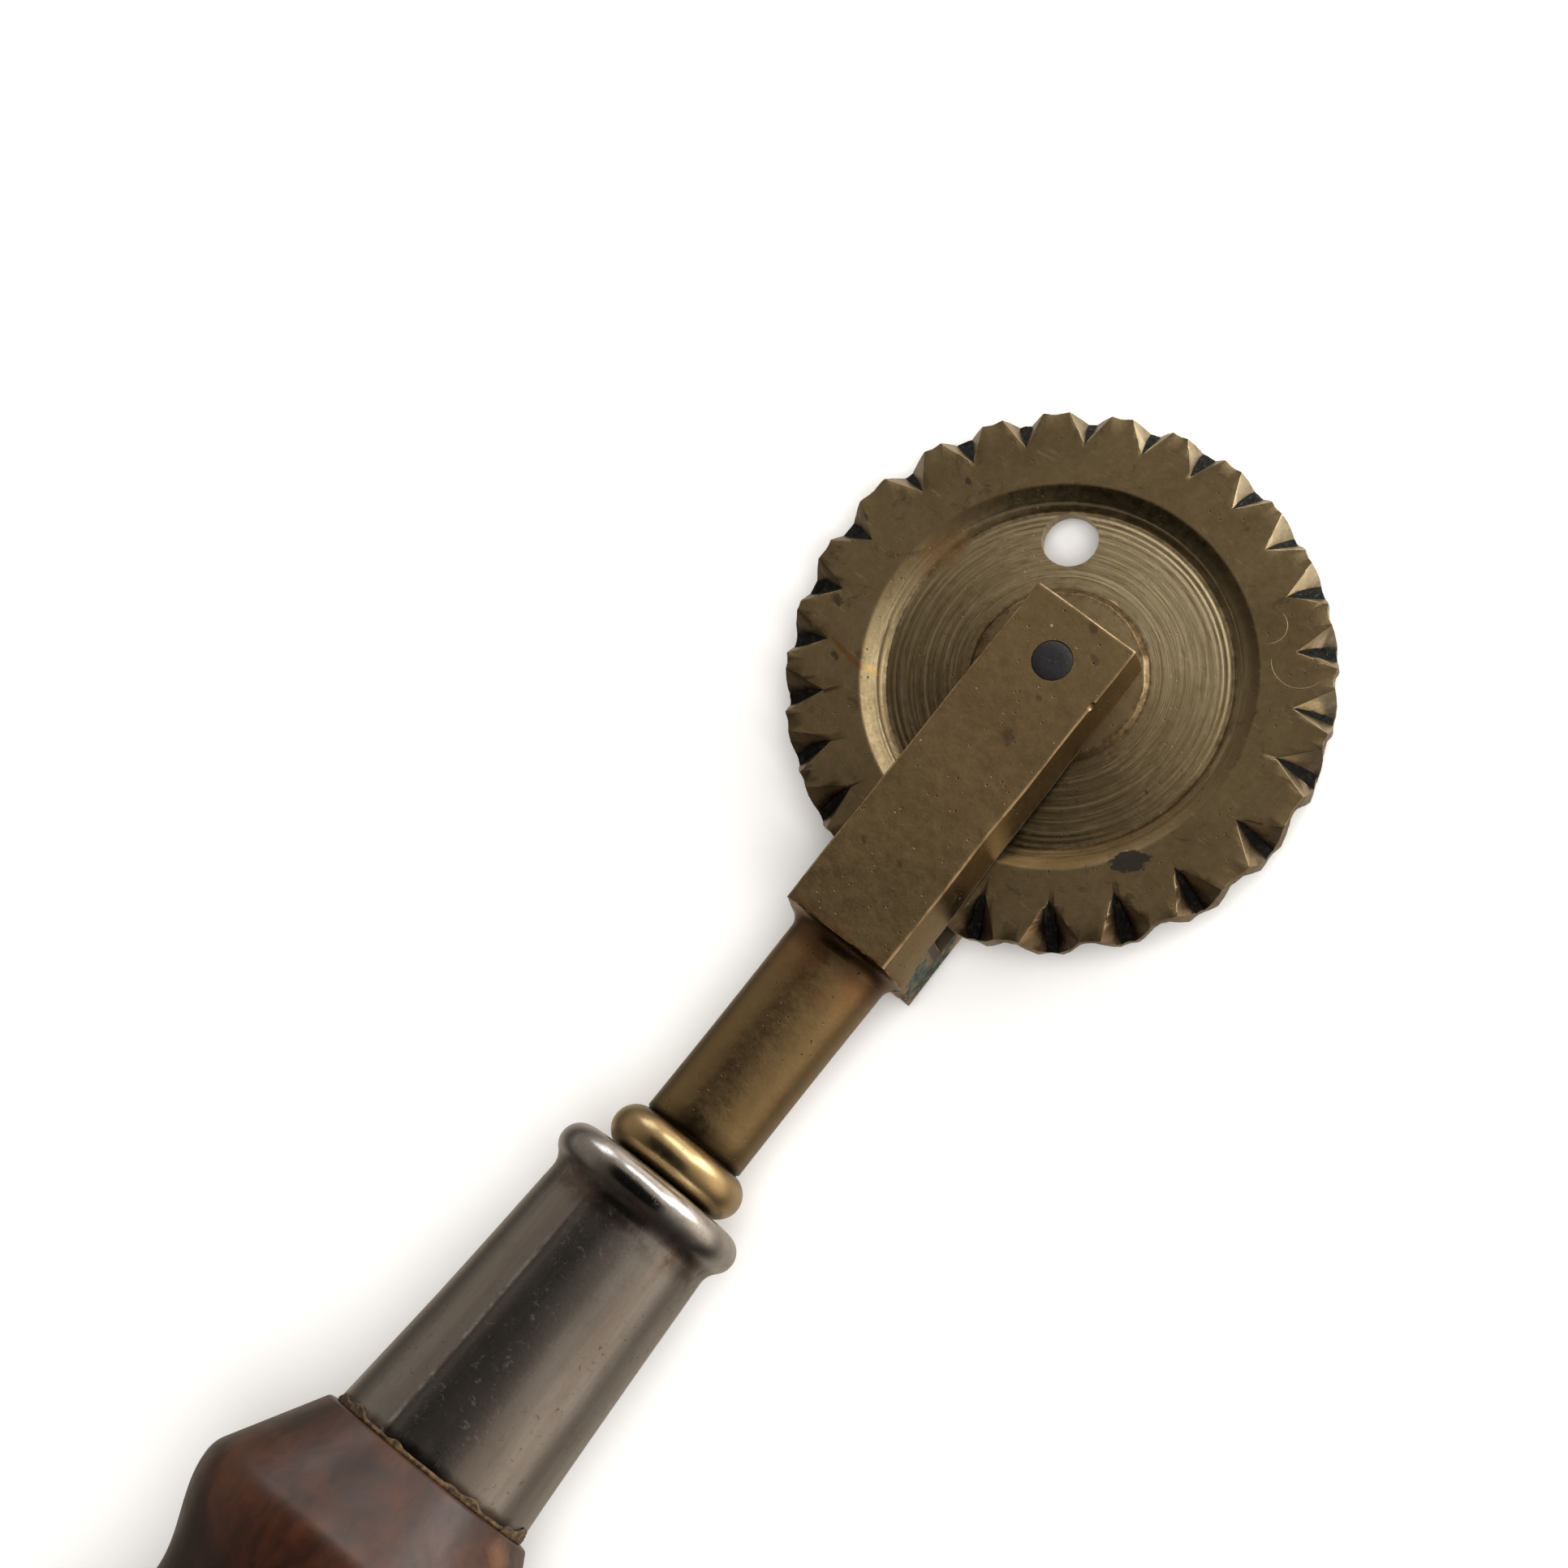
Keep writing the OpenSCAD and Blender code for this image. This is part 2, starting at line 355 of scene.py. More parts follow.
class Graph:
    """A node tree under construction. Inputs may be sockets, numbers or colours."""

    def __init__(self, tree, coordinates, scale):
        self.tree = tree
        self.place = self.vector("SCALE", self.node("ShaderNodeTexCoord").outputs[coordinates], scale=scale)

    def node(self, kind, inputs=None, **settings):
        made = self.tree.nodes.new(kind)
        for key, value in settings.items():
            setattr(made, key, value)
        for key, value in (inputs or {}).items():
            if isinstance(value, bpy.types.NodeSocket):
                self.tree.links.new(value, made.inputs[key])
            else:
                made.inputs[key].default_value = value
        return made

    def math(self, operation, a, b=0.0, clamp=False):
        return self.node("ShaderNodeMath", {0: a, 1: b}, operation=operation, use_clamp=clamp).outputs[0]

    def times(self, a, b):
        return self.math("MULTIPLY", a, b)

    def plus(self, a, b):
        return self.math("ADD", a, b)

    def minus(self, a, b):
        return self.math("SUBTRACT", a, b)

    def size(self, a):
        return self.math("ABSOLUTE", a)

    def near(self, value, centre, far, close):
        """1 where a value lies close to a centre, fading to 0 where it lies far from it."""
        return self.step(self.size(self.minus(value, centre)), far, close)

    def length(self, a, b):
        """The length of the hypotenuse over two sides."""
        return self.math("SQRT", self.plus(self.times(a, a), self.times(b, b)))

    def stretched(self, x, y, z):
        """The place, with each coordinate multiplied, which draws a pattern out along an axis."""
        return self.vector("MULTIPLY", self.place, (x, y, z))

    def stained(self, colour, where, strength, stain):
        """The colour with a stain laid over it, at a strength, where a value is 1."""
        return self.mix(self.times(where, strength), colour, stain)

    def vector(self, operation, a, b=(0, 0, 0), scale=1.0):
        inputs = {0: a, "Scale": scale} if operation == "SCALE" else {0: a, 1: b}
        made = self.node("ShaderNodeVectorMath", inputs, operation=operation)
        return made.outputs["Value" if operation in ("LENGTH", "DISTANCE") else "Vector"]

    def split(self, vector):
        made = self.node("ShaderNodeSeparateXYZ", {0: vector})
        return made.outputs

    def join(self, x, y, z):
        return self.node("ShaderNodeCombineXYZ", {0: x, 1: y, 2: z}).outputs[0]

    def noise(self, scale, detail=4.0, roughness=0.5, distortion=0.0, at=None):
        made = self.node(
            "ShaderNodeTexNoise",
            {
                "Vector": at or self.place,
                "Scale": scale,
                "Detail": detail,
                "Roughness": roughness,
                "Distortion": distortion,
            },
        )
        return made.outputs["Fac"]

    def cells(self, scale, at=None):
        made = self.node("ShaderNodeTexVoronoi", {"Vector": at or self.place, "Scale": scale})
        return made.outputs["Distance"]

    def step(self, value, low, high, to_low=0.0, to_high=1.0):
        """A smooth step of value from low to high."""
        made = self.node(
            "ShaderNodeMapRange",
            {"Value": value, "From Min": low, "From Max": high, "To Min": to_low, "To Max": to_high},
            interpolation_type="SMOOTHSTEP",
        )
        return made.outputs[0]

    def mix(self, factor, a, b, blend="MIX"):
        made = self.node("ShaderNodeMix", data_type="RGBA", blend_type=blend)
        for index, value in ((0, factor), (6, a), (7, b)):
            if isinstance(value, bpy.types.NodeSocket):
                self.tree.links.new(value, made.inputs[index])
            elif index == 0:
                made.inputs[index].default_value = value
            else:
                made.inputs[index].default_value = (*value, 1)
        return made.outputs[2]

    def dot(self, a, b):
        return self.node("ShaderNodeVectorMath", {0: a, 1: b}, operation="DOT_PRODUCT").outputs["Value"]

    def patch(self, spot, length, width, along=(1, 0, 0), ragged=0.0, scale=1.0, edge=0.7):
        """1 inside an ellipsoid round a spot, with half sizes along a direction and across it."""
        off = self.vector("SUBTRACT", self.place, spot)
        run = self.dot(off, tuple(Vector(along).normalized()))
        aside = self.vector("LENGTH", off)
        aside = self.minus(self.times(aside, aside), self.times(run, run))
        run = self.math("DIVIDE", run, length)
        share = self.plus(self.times(run, run), self.math("DIVIDE", aside, width * width))
        if ragged:
            wander = self.minus(self.noise(scale, 6, 0.65), 0.5)
            share = self.plus(share, self.times(wander, ragged))
        return self.step(share, 1.0, edge)

    def bump(self, height, strength, distance, normal=None):
        inputs = {"Height": height, "Strength": strength, "Distance": distance * MM}
        if normal is not None:
            inputs["Normal"] = normal
        return self.node("ShaderNodeBump", inputs).outputs[0]


class Surface(Graph):
    """A principled material, with places on it in millimetres."""

    def __init__(self, name, **shader_values):
        self.material = bpy.data.materials.new(name)
        self.material.use_nodes = True
        tree = self.material.node_tree
        tree.nodes.clear()
        super().__init__(tree, "Object", 1 / MM)
        self.shader = self.node("ShaderNodeBsdfPrincipled")
        output = self.node("ShaderNodeOutputMaterial")
        tree.links.new(self.shader.outputs[0], output.inputs[0])
        for key, value in shader_values.items():
            self.shader.inputs[key.replace("_", " ")].default_value = value

    def finish(self, colour, roughness, normal, metallic=None):
        self.tree.links.new(colour, self.shader.inputs["Base Color"])
        self.tree.links.new(roughness, self.shader.inputs["Roughness"])
        self.tree.links.new(normal, self.shader.inputs["Normal"])
        if metallic is not None:
            self.tree.links.new(metallic, self.shader.inputs["Metallic"])
        return self.material


# ---------------------------------------------------------------- brass

BRASS = (0.248, 0.192, 0.108)
BRASS_BROWN = (0.185, 0.130, 0.068)
BRASS_PALE = (0.50, 0.42, 0.27)
GRIME = (0.010, 0.009, 0.0085)
PAINT = (0.75, 0.74, 0.70)


def aged_brass(graph, base, brown, amount=0.5):
    """The colour of old handled brass: broad brown tarnish, fine mottling, dark spots and pinholes."""
    broad = graph.step(graph.noise(0.10, 5, 0.6, 0.3), 0.35, 0.7)
    colour = graph.mix(graph.times(broad, amount), base, brown)
    fine = graph.step(graph.noise(3.2, 6, 0.75), 0.35, 0.75)
    colour = graph.stained(colour, fine, 0.22, brown)
    spots = graph.step(graph.noise(1.1, 6, 0.7, 0.9), 0.66, 0.76)
    colour = graph.stained(colour, spots, 0.45, (0.06, 0.048, 0.04))
    sparse = graph.step(graph.noise(0.45, 2), 0.46, 0.58)
    pits = graph.times(graph.step(graph.cells(1.3), 0.13, 0.07), sparse)
    return graph.stained(colour, pits, 0.7, GRIME), pits


def wheel_radius(graph):
    """Distance from the axle, in millimetres."""
    x, y, _ = graph.split(graph.vector("SUBTRACT", graph.place, AXLE))
    return graph.length(x, y)


def polar(radius, degrees, height):
    """A place on the wheel, in the row frame."""
    a = math.radians(degrees)
    return (AX + radius * math.cos(a), radius * math.sin(a), height)


def turning_marks(graph, radius):
    """Fine and coarse rings about the axle, a little broken up along their way round."""
    wander = graph.times(graph.noise(0.12, 2), 0.20)
    at = graph.join(graph.plus(radius, wander), graph.times(graph.noise(0.10, 1), 1.2), 0)
    return graph.noise(9.0, 5, 0.75, at=at), graph.noise(3.2, 4, 0.7, at=at)


def hair_scratch(graph, centre, radius, half_width, side):
    """A thin pale arc: part of a circle round a centre, on one side of it."""
    off = graph.minus(graph.vector("DISTANCE", graph.place, centre), radius)
    line = graph.step(graph.size(off), half_width, half_width * 0.3)
    away = graph.dot(graph.vector("SUBTRACT", graph.place, centre), tuple(Vector(side).normalized()))
    return graph.times(line, graph.step(away, radius * 0.2, radius * 0.7))


def web_painted_light(graph, colour, web):
    """Painted light on the web: a painted highlight on the side away from the handle, and painted shade on
    the other.
    """
    x = graph.split(graph.place)[0]
    # Painted highlight: the web is paler towards the side away from the handle.
    wear_and_sheen = graph.times(web, graph.step(x, AX - 4, AX + 11, 0.0, 0.5))
    colour = graph.mix(wear_and_sheen, colour, BRASS_PALE)
    # Painted shade: the web is darker towards the handle's side.
    painted_shade = graph.times(web, graph.step(x, AX + 1, AX - 10, 0.0, 0.35))
    return graph.mix(painted_shade, colour, (0.13, 0.10, 0.055))


def dish_dirt(graph, colour, radius):
    """Brown dirt in the corner of the dish, rust round the hub, and a smear across the web."""
    corner = graph.times(
        graph.near(radius, DISH_FOOT_R, 0.45, 0.05), graph.step(graph.noise(0.8, 5, 0.7), 0.40, 0.60)
    )
    colour = graph.stained(colour, corner, 0.55, (0.07, 0.05, 0.028))
    hub_edge = graph.times(
        graph.near(radius, BOSS_R + 0.1, 0.75, 0.1), graph.step(graph.noise(1.3, 6, 0.75), 0.44, 0.60)
    )
    colour = graph.stained(colour, hub_edge, 0.8, (0.10, 0.055, 0.032))
    smear = graph.patch(polar(14.6, 78, WEB_H), 3.6, 1.6, (-1, 0.3, 0), 1.2, 0.5, 0.0)
    return graph.stained(colour, smear, 0.5, (0.25, 0.125, 0.045))


# Small stains on the wheel: distance from the axle, direction in degrees, and half width.
WHEEL_STAINS = (
    (19.5, 107, 0.5), (18.4, 121, 0.32), (10.4, -134, 0.20),
    (12.1, -106, 0.16), (18.4, 62, 0.3),
)


def wheel_stains(graph, colour):
    """A rust streak, a drip, a dark blotch and small stains. The blotch comes back too."""
    blotch = graph.patch(polar(16.75, -121.5, WHEEL_H), 1.65, 0.95, (0.62, -0.77, 0), 3.6, 1.1, 0.75)
    streak = graph.patch(polar(17.4, 120.4, WHEEL_H), 2.5, 0.30, (-0.15, -0.99, 0), 2.4, 1.1, 0.2)
    colour = graph.stained(colour, streak, 0.65, (0.22, 0.095, 0.025))
    drip = graph.patch(polar(15.3, 124.5, WHEEL_H - 0.4), 1.2, 0.40, (0.1, -1, 0), 2.6, 1.4, 0.2)
    colour = graph.stained(colour, drip, 0.5, (0.34, 0.21, 0.05))
    colour = graph.stained(colour, blotch, 0.9, (0.040, 0.036, 0.036))
    for radius, angle, size in WHEEL_STAINS:
        height = WHEEL_H - (0.8 if radius < DISH_FOOT_R else 0)
        stain = graph.patch(polar(radius, angle, height), size * 1.7, size, (0.5, 1, 0), 3.0, 1.8, 0.2)
        colour = graph.stained(colour, stain, 0.65, (0.035, 0.030, 0.028))
    return colour, blotch


def wheel_scratches(graph):
    """Three thin curved scratches on the rim's face."""
    hairs = graph.math(
        "MAXIMUM",
        hair_scratch(graph, polar(17.4, -40, WHEEL_H), 1.5, 0.035, (0.2, -1, 0)),
        hair_scratch(graph, polar(19.6, -50, WHEEL_H), 2.4, 0.030, (-1, -0.2, 0)),
    )
    third = hair_scratch(graph, polar(16.0, 166, WHEEL_H), 2.3, 0.05, (-0.7, 1, 0))
    return graph.math("MAXIMUM", hairs, third)


def wheel_brass():
    """Turned brass with fine rings, old stains and scratches."""
    graph = Surface("wheel_brass", Metallic=1.0)
    colour, pits = aged_brass(graph, BRASS, (0.150, 0.105, 0.058), 0.5)
    rubs = graph.noise(3.0, 4, 0.6, at=graph.stretched(0.9, 0.12, 1.0))
    colour = graph.mix(graph.step(rubs, 0.60, 0.74, 0.0, 0.35), colour, BRASS_PALE)
    stains = graph.step(graph.noise(0.55, 6, 0.72, 0.8), 0.56, 0.70, 0.0, 0.6)
    colour = graph.mix(stains, colour, (0.075, 0.055, 0.042))
    radius = wheel_radius(graph)
    fine, coarse = turning_marks(graph, radius)
    web = graph.times(
        graph.step(radius, BOSS_FOOT_R - 0.2, BOSS_FOOT_R + 0.6),
        graph.step(radius, DISH_R - 0.3, DISH_R - 1.4),
    )
    # Painted highlight and painted shade on the web's two sides.
    colour = web_painted_light(graph, colour, web)
    marked = graph.plus(graph.times(web, 0.80), 0.20)
    dark_rings = graph.times(graph.step(fine, 0.56, 0.40), graph.times(marked, 0.50))
    colour = graph.mix(dark_rings, colour, (0.10, 0.072, 0.038))
    pale_rings = graph.times(graph.step(coarse, 0.45, 0.66), graph.times(web, 0.42))
    colour = graph.mix(pale_rings, colour, BRASS_PALE)
    colour = dish_dirt(graph, colour, radius)
    colour, blotch = wheel_stains(graph, colour)
    hairs = wheel_scratches(graph)
    colour = graph.stained(colour, hairs, 0.7, BRASS_PALE)
    roughness = graph.step(graph.noise(1.5, 6, 0.7), 0.3, 0.75, 0.30, 0.44)
    roughness = graph.plus(roughness, graph.times(graph.math("MAXIMUM", pits, blotch), 0.25))
    normal = graph.bump(graph.times(graph.plus(fine, coarse), marked), 0.26, 0.05)
    scratch = graph.noise(5.0, 2, 0.5, at=graph.stretched(0.15, 1.0, 1.0))
    normal = graph.bump(graph.plus(graph.noise(3.5, 6, 0.7), scratch), 0.12, 0.04, normal)
    normal = graph.bump(graph.minus(hairs, pits), 0.4, 0.04, normal)
    return graph.finish(colour, roughness, normal)


def notch_brass(name, face, apex_r, slope):
    """Filed walls: brown brass outside, with a painted highlight on the walls away from the handle and
    painted shade deepening towards the foot of the cut, which is packed with old dough and verdigris.
    """
    graph = Surface(name, Metallic=0.85)
    radius = wheel_radius(graph)
    height = graph.times(graph.split(graph.place)[2], face)
    depth = graph.minus(WHEEL_H, height)
    foot = graph.times(graph.minus(radius, apex_r), math.tan(slope))
    share = graph.math("DIVIDE", depth, graph.math("MAXIMUM", foot, 0.35))
    ragged = graph.times(graph.minus(graph.noise(0.8, 6, 0.65), 0.5), 1.1)
    reach = graph.plus(share, ragged)
    packed = graph.step(reach, 0.80, 1.10)
    # Painted shade: darker down the wall towards the foot of the cut.
    stained = graph.step(reach, 0.25, 0.85)
    # Painted highlight: paler walls on the side away from the handle.
    painted_lit_side = graph.step(graph.split(graph.place)[0], AX - 6, AX + 10)
    base = graph.mix(painted_lit_side, (0.30, 0.22, 0.13), (0.72, 0.64, 0.46))
    colour, _ = aged_brass(graph, base, (0.17, 0.10, 0.06), 0.6)
    files = graph.noise(5.0, 3, 0.6, at=graph.stretched(0.15, 0.15, 1.6))
    colour = graph.mix(graph.step(files, 0.5, 0.7, 0, 0.35), colour, BRASS_PALE)
    # The painted shade is weaker where the painted highlight lies.
    stained = graph.times(stained, graph.step(painted_lit_side, 0.0, 1.0, 0.95, 0.45))
    colour = graph.mix(stained, colour, (0.028, 0.017, 0.012))
    colour = graph.mix(packed, colour, (0.010, 0.009, 0.008))
    roughness = graph.step(packed, 0, 1, 0.34, 0.75)
    metallic = graph.step(packed, 0.5, 1.0, 0.95, 0.0)
    normal = graph.bump(graph.noise(4.0, 6, 0.7), 0.3, 0.06)
    return graph.finish(colour, roughness, normal, metallic)


def notch_dirt():
    """Old dough packed in the notches, black, with blue-green verdigris and pale specks that are partly
    painted glints, on the side away from the handle.
    """
    graph = Surface("notch_dirt", Metallic=0.0, Specular_IOR_Level=0.25)
    green = graph.step(graph.noise(2.4, 6, 0.7), 0.50, 0.62)
    ahead = graph.step(graph.split(graph.place)[0], AX + 4, AX + 14, 0.12, 0.75)
    colour = graph.mix(graph.times(green, ahead), (0.0035, 0.003, 0.003), (0.010, 0.022, 0.022))
    # Pale specks, partly verdigris and partly painted glints, more on the side away from the handle.
    specks_and_glints = graph.step(graph.noise(4.0, 4, 0.7), 0.58, 0.68)
    colour = graph.stained(colour, specks_and_glints, ahead, (0.10, 0.14, 0.15))
    earth = graph.step(graph.noise(1.4, 5, 0.7), 0.52, 0.66, 0.0, 0.8)
    colour = graph.mix(earth, colour, (0.030, 0.018, 0.010))
    roughness = graph.step(green, 0, 1, 0.6, 0.85)
    return graph.finish(colour, roughness, graph.bump(graph.noise(2.6, 6, 0.75), 1.0, 0.35))


def neck_tarnish(graph, colour, x):
    """The neck is browner than the block and coppery below the shoulder, with a band of painted shade just
    behind the shoulder.
    """
    back = AX + FORK_BACK
    neck = graph.step(x, back + 0.6, back - 0.8)
    colour = graph.stained(colour, neck, 0.30, (0.20, 0.125, 0.05))
    cloudy = graph.step(graph.noise(0.45, 5, 0.65), 0.36, 0.58)
    tint = graph.times(graph.step(x, back - 8, back - 1.0), cloudy)
    tint = graph.times(tint, graph.step(x, back + 1.2, back - 0.3))
    colour = graph.stained(colour, tint, 0.5, (0.26, 0.105, 0.045))
    # Painted shade: a dark band on the neck just behind the shoulder.
    under = graph.times(graph.near(x, back - 1.0, 2.0, 0.3), neck)
    return graph.stained(colour, under, 0.65, (0.06, 0.036, 0.022))


def slot_crust(graph, colour, x, z):
    """Verdigris crust round the foot of the slot, and dark grime inside it that is partly painted shade,
    darker towards the slot's back. Where both lie comes back too.
    """
    around = graph.patch((AX + SLOT_BACK - 1.2, -FORK_W - 0.6, -2.2), 4.2, 3.9, (1, 0, 0.35), 2.0, 0.8)
    other = graph.patch((AX + SLOT_BACK, FORK_W, 0), 2.6, 2.4, (1, 0, 0), 1.8, 0.8)
    in_slot = graph.step(graph.size(z), SLOT_H + 0.25, SLOT_H - 0.02)
    in_slot = graph.times(in_slot, graph.step(x, AX + SLOT_BACK - 1.5, AX + SLOT_BACK - 0.8))
    green = graph.math("MAXIMUM", around, other, True)
    covered = graph.times(green, graph.step(graph.noise(0.9, 6, 0.7), 0.34, 0.50))
    covered = graph.times(covered, graph.minus(1.0, in_slot))
    lumps = graph.step(graph.noise(1.6, 6, 0.75), 0.42, 0.60)
    crust = graph.mix(lumps, (0.010, 0.018, 0.014), (0.022, 0.070, 0.055))
    crust = graph.mix(graph.step(graph.noise(3.6, 4, 0.6), 0.60, 0.70, 0, 0.7), crust, (0.16, 0.22, 0.17))
    colour = graph.stained(colour, covered, 0.95, crust)
    # Grime and painted shade inside the slot, darker towards its back.
    grime_and_shade = graph.times(in_slot, graph.step(x, AX + 3, AX - 6, 0.4, 0.95))
    grime_and_shade = graph.times(grime_and_shade, graph.minus(1.0, covered))
    return graph.mix(grime_and_shade, colour, (0.030, 0.020, 0.014)), covered, grime_and_shade


# Marks on the fork's upper face: distance along X from the axle, place across, and half width.
FORK_SMUDGES = (
    (4.1, -0.9, 0.5), (2.0, -2.8, 0.45), (-3.1, -1.1, 0.3),
    (-7.1, -1.1, 0.6), (-20.5, -0.7, 0.3), (-20.6, 3.0, 0.35),
)
FORK_FLECKS = (
    (2.27, 1.85, 0.13), (-0.6, 1.54, 0.08), (-5.3, -4.4, 0.07),
    (-14.7, -1.2, 0.07), (-11.5, 4.4, 0.09),
)


def fork_marks(graph, colour):
    """Dark smudges, pale flecks of paint, and a line of dirt where the neck meets the collar."""
    for along, across, size in FORK_SMUDGES:
        smudge = graph.patch((AX + along, across, EAR_H), size * 1.6, size, (0.6, 1, 0), 3.2, 1.5, 0.1)
        colour = graph.stained(colour, smudge, 0.45, (0.055, 0.045, 0.038))
    for along, across, size in FORK_FLECKS:
        fleck = graph.patch((AX + along, across, EAR_H), size, size, ragged=0.4, scale=4.0)
        colour = graph.stained(colour, fleck, 0.8, PAINT)
    x = graph.split(graph.place)[0]
    seam = graph.step(x, AX + COLLAR_FRONT + 0.8, AX + COLLAR_FRONT + 0.1)
    return graph.stained(colour, seam, 0.85, GRIME)


def fork_brass():
    """Filed brass, browner on the neck, with verdigris round the slot's foot."""
    graph = Surface("fork_brass", Metallic=1.0)
    colour, pits = aged_brass(graph, (0.278, 0.205, 0.110), BRASS_BROWN, 0.35)
    x, _, z = graph.split(graph.place)
    colour = neck_tarnish(graph, colour, x)
    colour, covered, grime_and_shade = slot_crust(graph, colour, x, z)
    colour = fork_marks(graph, colour)
    roughness = graph.step(graph.noise(1.3, 6, 0.7), 0.3, 0.7, 0.31, 0.42)
    rough_parts = graph.math("MAXIMUM", covered, grime_and_shade)
    roughness = graph.plus(roughness, graph.times(rough_parts, 0.35))
    metallic = graph.step(rough_parts, 0.1, 0.8, 1.0, 0.05)
    normal = graph.bump(graph.noise(0.5, 3, 0.5), 0.22, 0.25)
    normal = graph.bump(graph.noise(4.0, 6, 0.7), 0.10, 0.05, normal)
    scratch = graph.noise(4.0, 2, 0.5, at=graph.stretched(0.08, 1.0, 1.0))
    normal = graph.bump(scratch, 0.05, 0.05, normal)
    lumps = graph.times(graph.noise(2.4, 5, 0.7), covered)
    normal = graph.bump(graph.minus(lumps, pits), 0.9, 0.18, normal)
    return graph.finish(colour, roughness, normal, metallic)


def worn_brass(name, bright):
    """Edges that handling has worn brighter here and there."""
    graph = Surface(name, Metallic=1.0)
    wear_and_sheen = graph.step(graph.noise(0.5, 5, 0.6), 0.34, 0.60)
    colour = graph.mix(wear_and_sheen, (0.26, 0.18, 0.10), bright)
    spots = graph.step(graph.noise(2.5, 5, 0.7), 0.55, 0.70, 0, 0.6)
    colour = graph.mix(spots, colour, (0.09, 0.065, 0.045))
    roughness = graph.step(graph.noise(1.5, 4, 0.6), 0.3, 0.7, 0.28, 0.42)
    return graph.finish(colour, roughness, graph.bump(graph.noise(3.0, 5, 0.7), 0.15, 0.04))


def collar_brass():
    """Brighter brass, with painted shade down both of its sides, away from the crown."""
    graph = Surface("collar_brass", Metallic=1.0)
    colour, pits = aged_brass(graph, (0.52, 0.395, 0.215), (0.30, 0.195, 0.09), 0.35)
    _, y, z = graph.split(graph.place)
    low = graph.plus(graph.length(y, z), graph.times(graph.noise(0.5, 3), 0.3))
    # Painted shade: darker away from the crown towards both sides.
    grime_and_shade = graph.step(low, COLLAR_R - 0.02, COLLAR_R - 0.9)
    colour = graph.stained(colour, grime_and_shade, 0.85, (0.06, 0.035, 0.018))
    roughness = graph.step(graph.noise(1.2, 5, 0.6), 0.3, 0.7, 0.25, 0.32)
    normal = graph.bump(graph.minus(graph.noise(2.5, 5, 0.6), pits), 0.12, 0.05)
    return graph.finish(colour, roughness, normal)


# ---------------------------------------------------------------- steel, pitch and wood


def pin_steel():
    """Blackened steel with faint marks from the hammer."""
    graph = Surface("pin_steel", Metallic=0.3)
    marks = graph.step(graph.noise(3.5, 5, 0.7, 1.2), 0.60, 0.72)
    colour = graph.mix(graph.times(marks, 0.5), (0.012, 0.011, 0.013), (0.16, 0.17, 0.20))
    roughness = graph.step(graph.noise(2.0, 4, 0.6), 0.3, 0.7, 0.42, 0.62)
    normal = graph.bump(graph.noise(2.6, 5, 0.7), 0.35, 0.08)
    return graph.finish(colour, roughness, normal)


SEAM_ANGLE = math.radians(74)


def ferrule_scale(graph, colour, x):
    """Brown scale gathers under the bead and at the mouth."""
    under = graph.near(x, AX + FERRULE_FRONT - 4.2, 2.4, 0.4)
    under = graph.times(under, graph.step(graph.noise(0.4, 5, 0.65), 0.38, 0.60))
    edge = graph.plus(x, graph.times(graph.noise(0.7, 5), 1.6))
    mouth = graph.step(edge, AX + FERRULE_BACK + 1.7, AX + FERRULE_BACK + 0.9)
    brown = graph.math("MAXIMUM", graph.times(under, 0.6), graph.times(mouth, 0.75))
    return graph.mix(brown, colour, (0.075, 0.042, 0.024))


def painted_seam_highlight(graph, colour, x, y, z):
    """A painted highlight: a thin pale line along the seam's ridge on the cone, which fades before the
    bead.
    """
    side = (math.cos(SEAM_ANGLE), math.sin(SEAM_ANGLE))
    off = graph.size(graph.minus(graph.times(z, side[0]), graph.times(y, side[1])))
    facing = graph.plus(graph.times(y, side[0]), graph.times(z, side[1]))
    line = graph.times(graph.step(off, 0.30, 0.05), graph.step(facing, 2, 4))
    line = graph.times(line, graph.step(graph.noise(0.7, 5, 0.7), 0.40, 0.62))
    line = graph.times(line, graph.step(x, AX + FERRULE_FRONT - 8, AX + FERRULE_FRONT - 11))
    return graph.stained(colour, line, 0.42, (0.75, 0.78, 0.78))


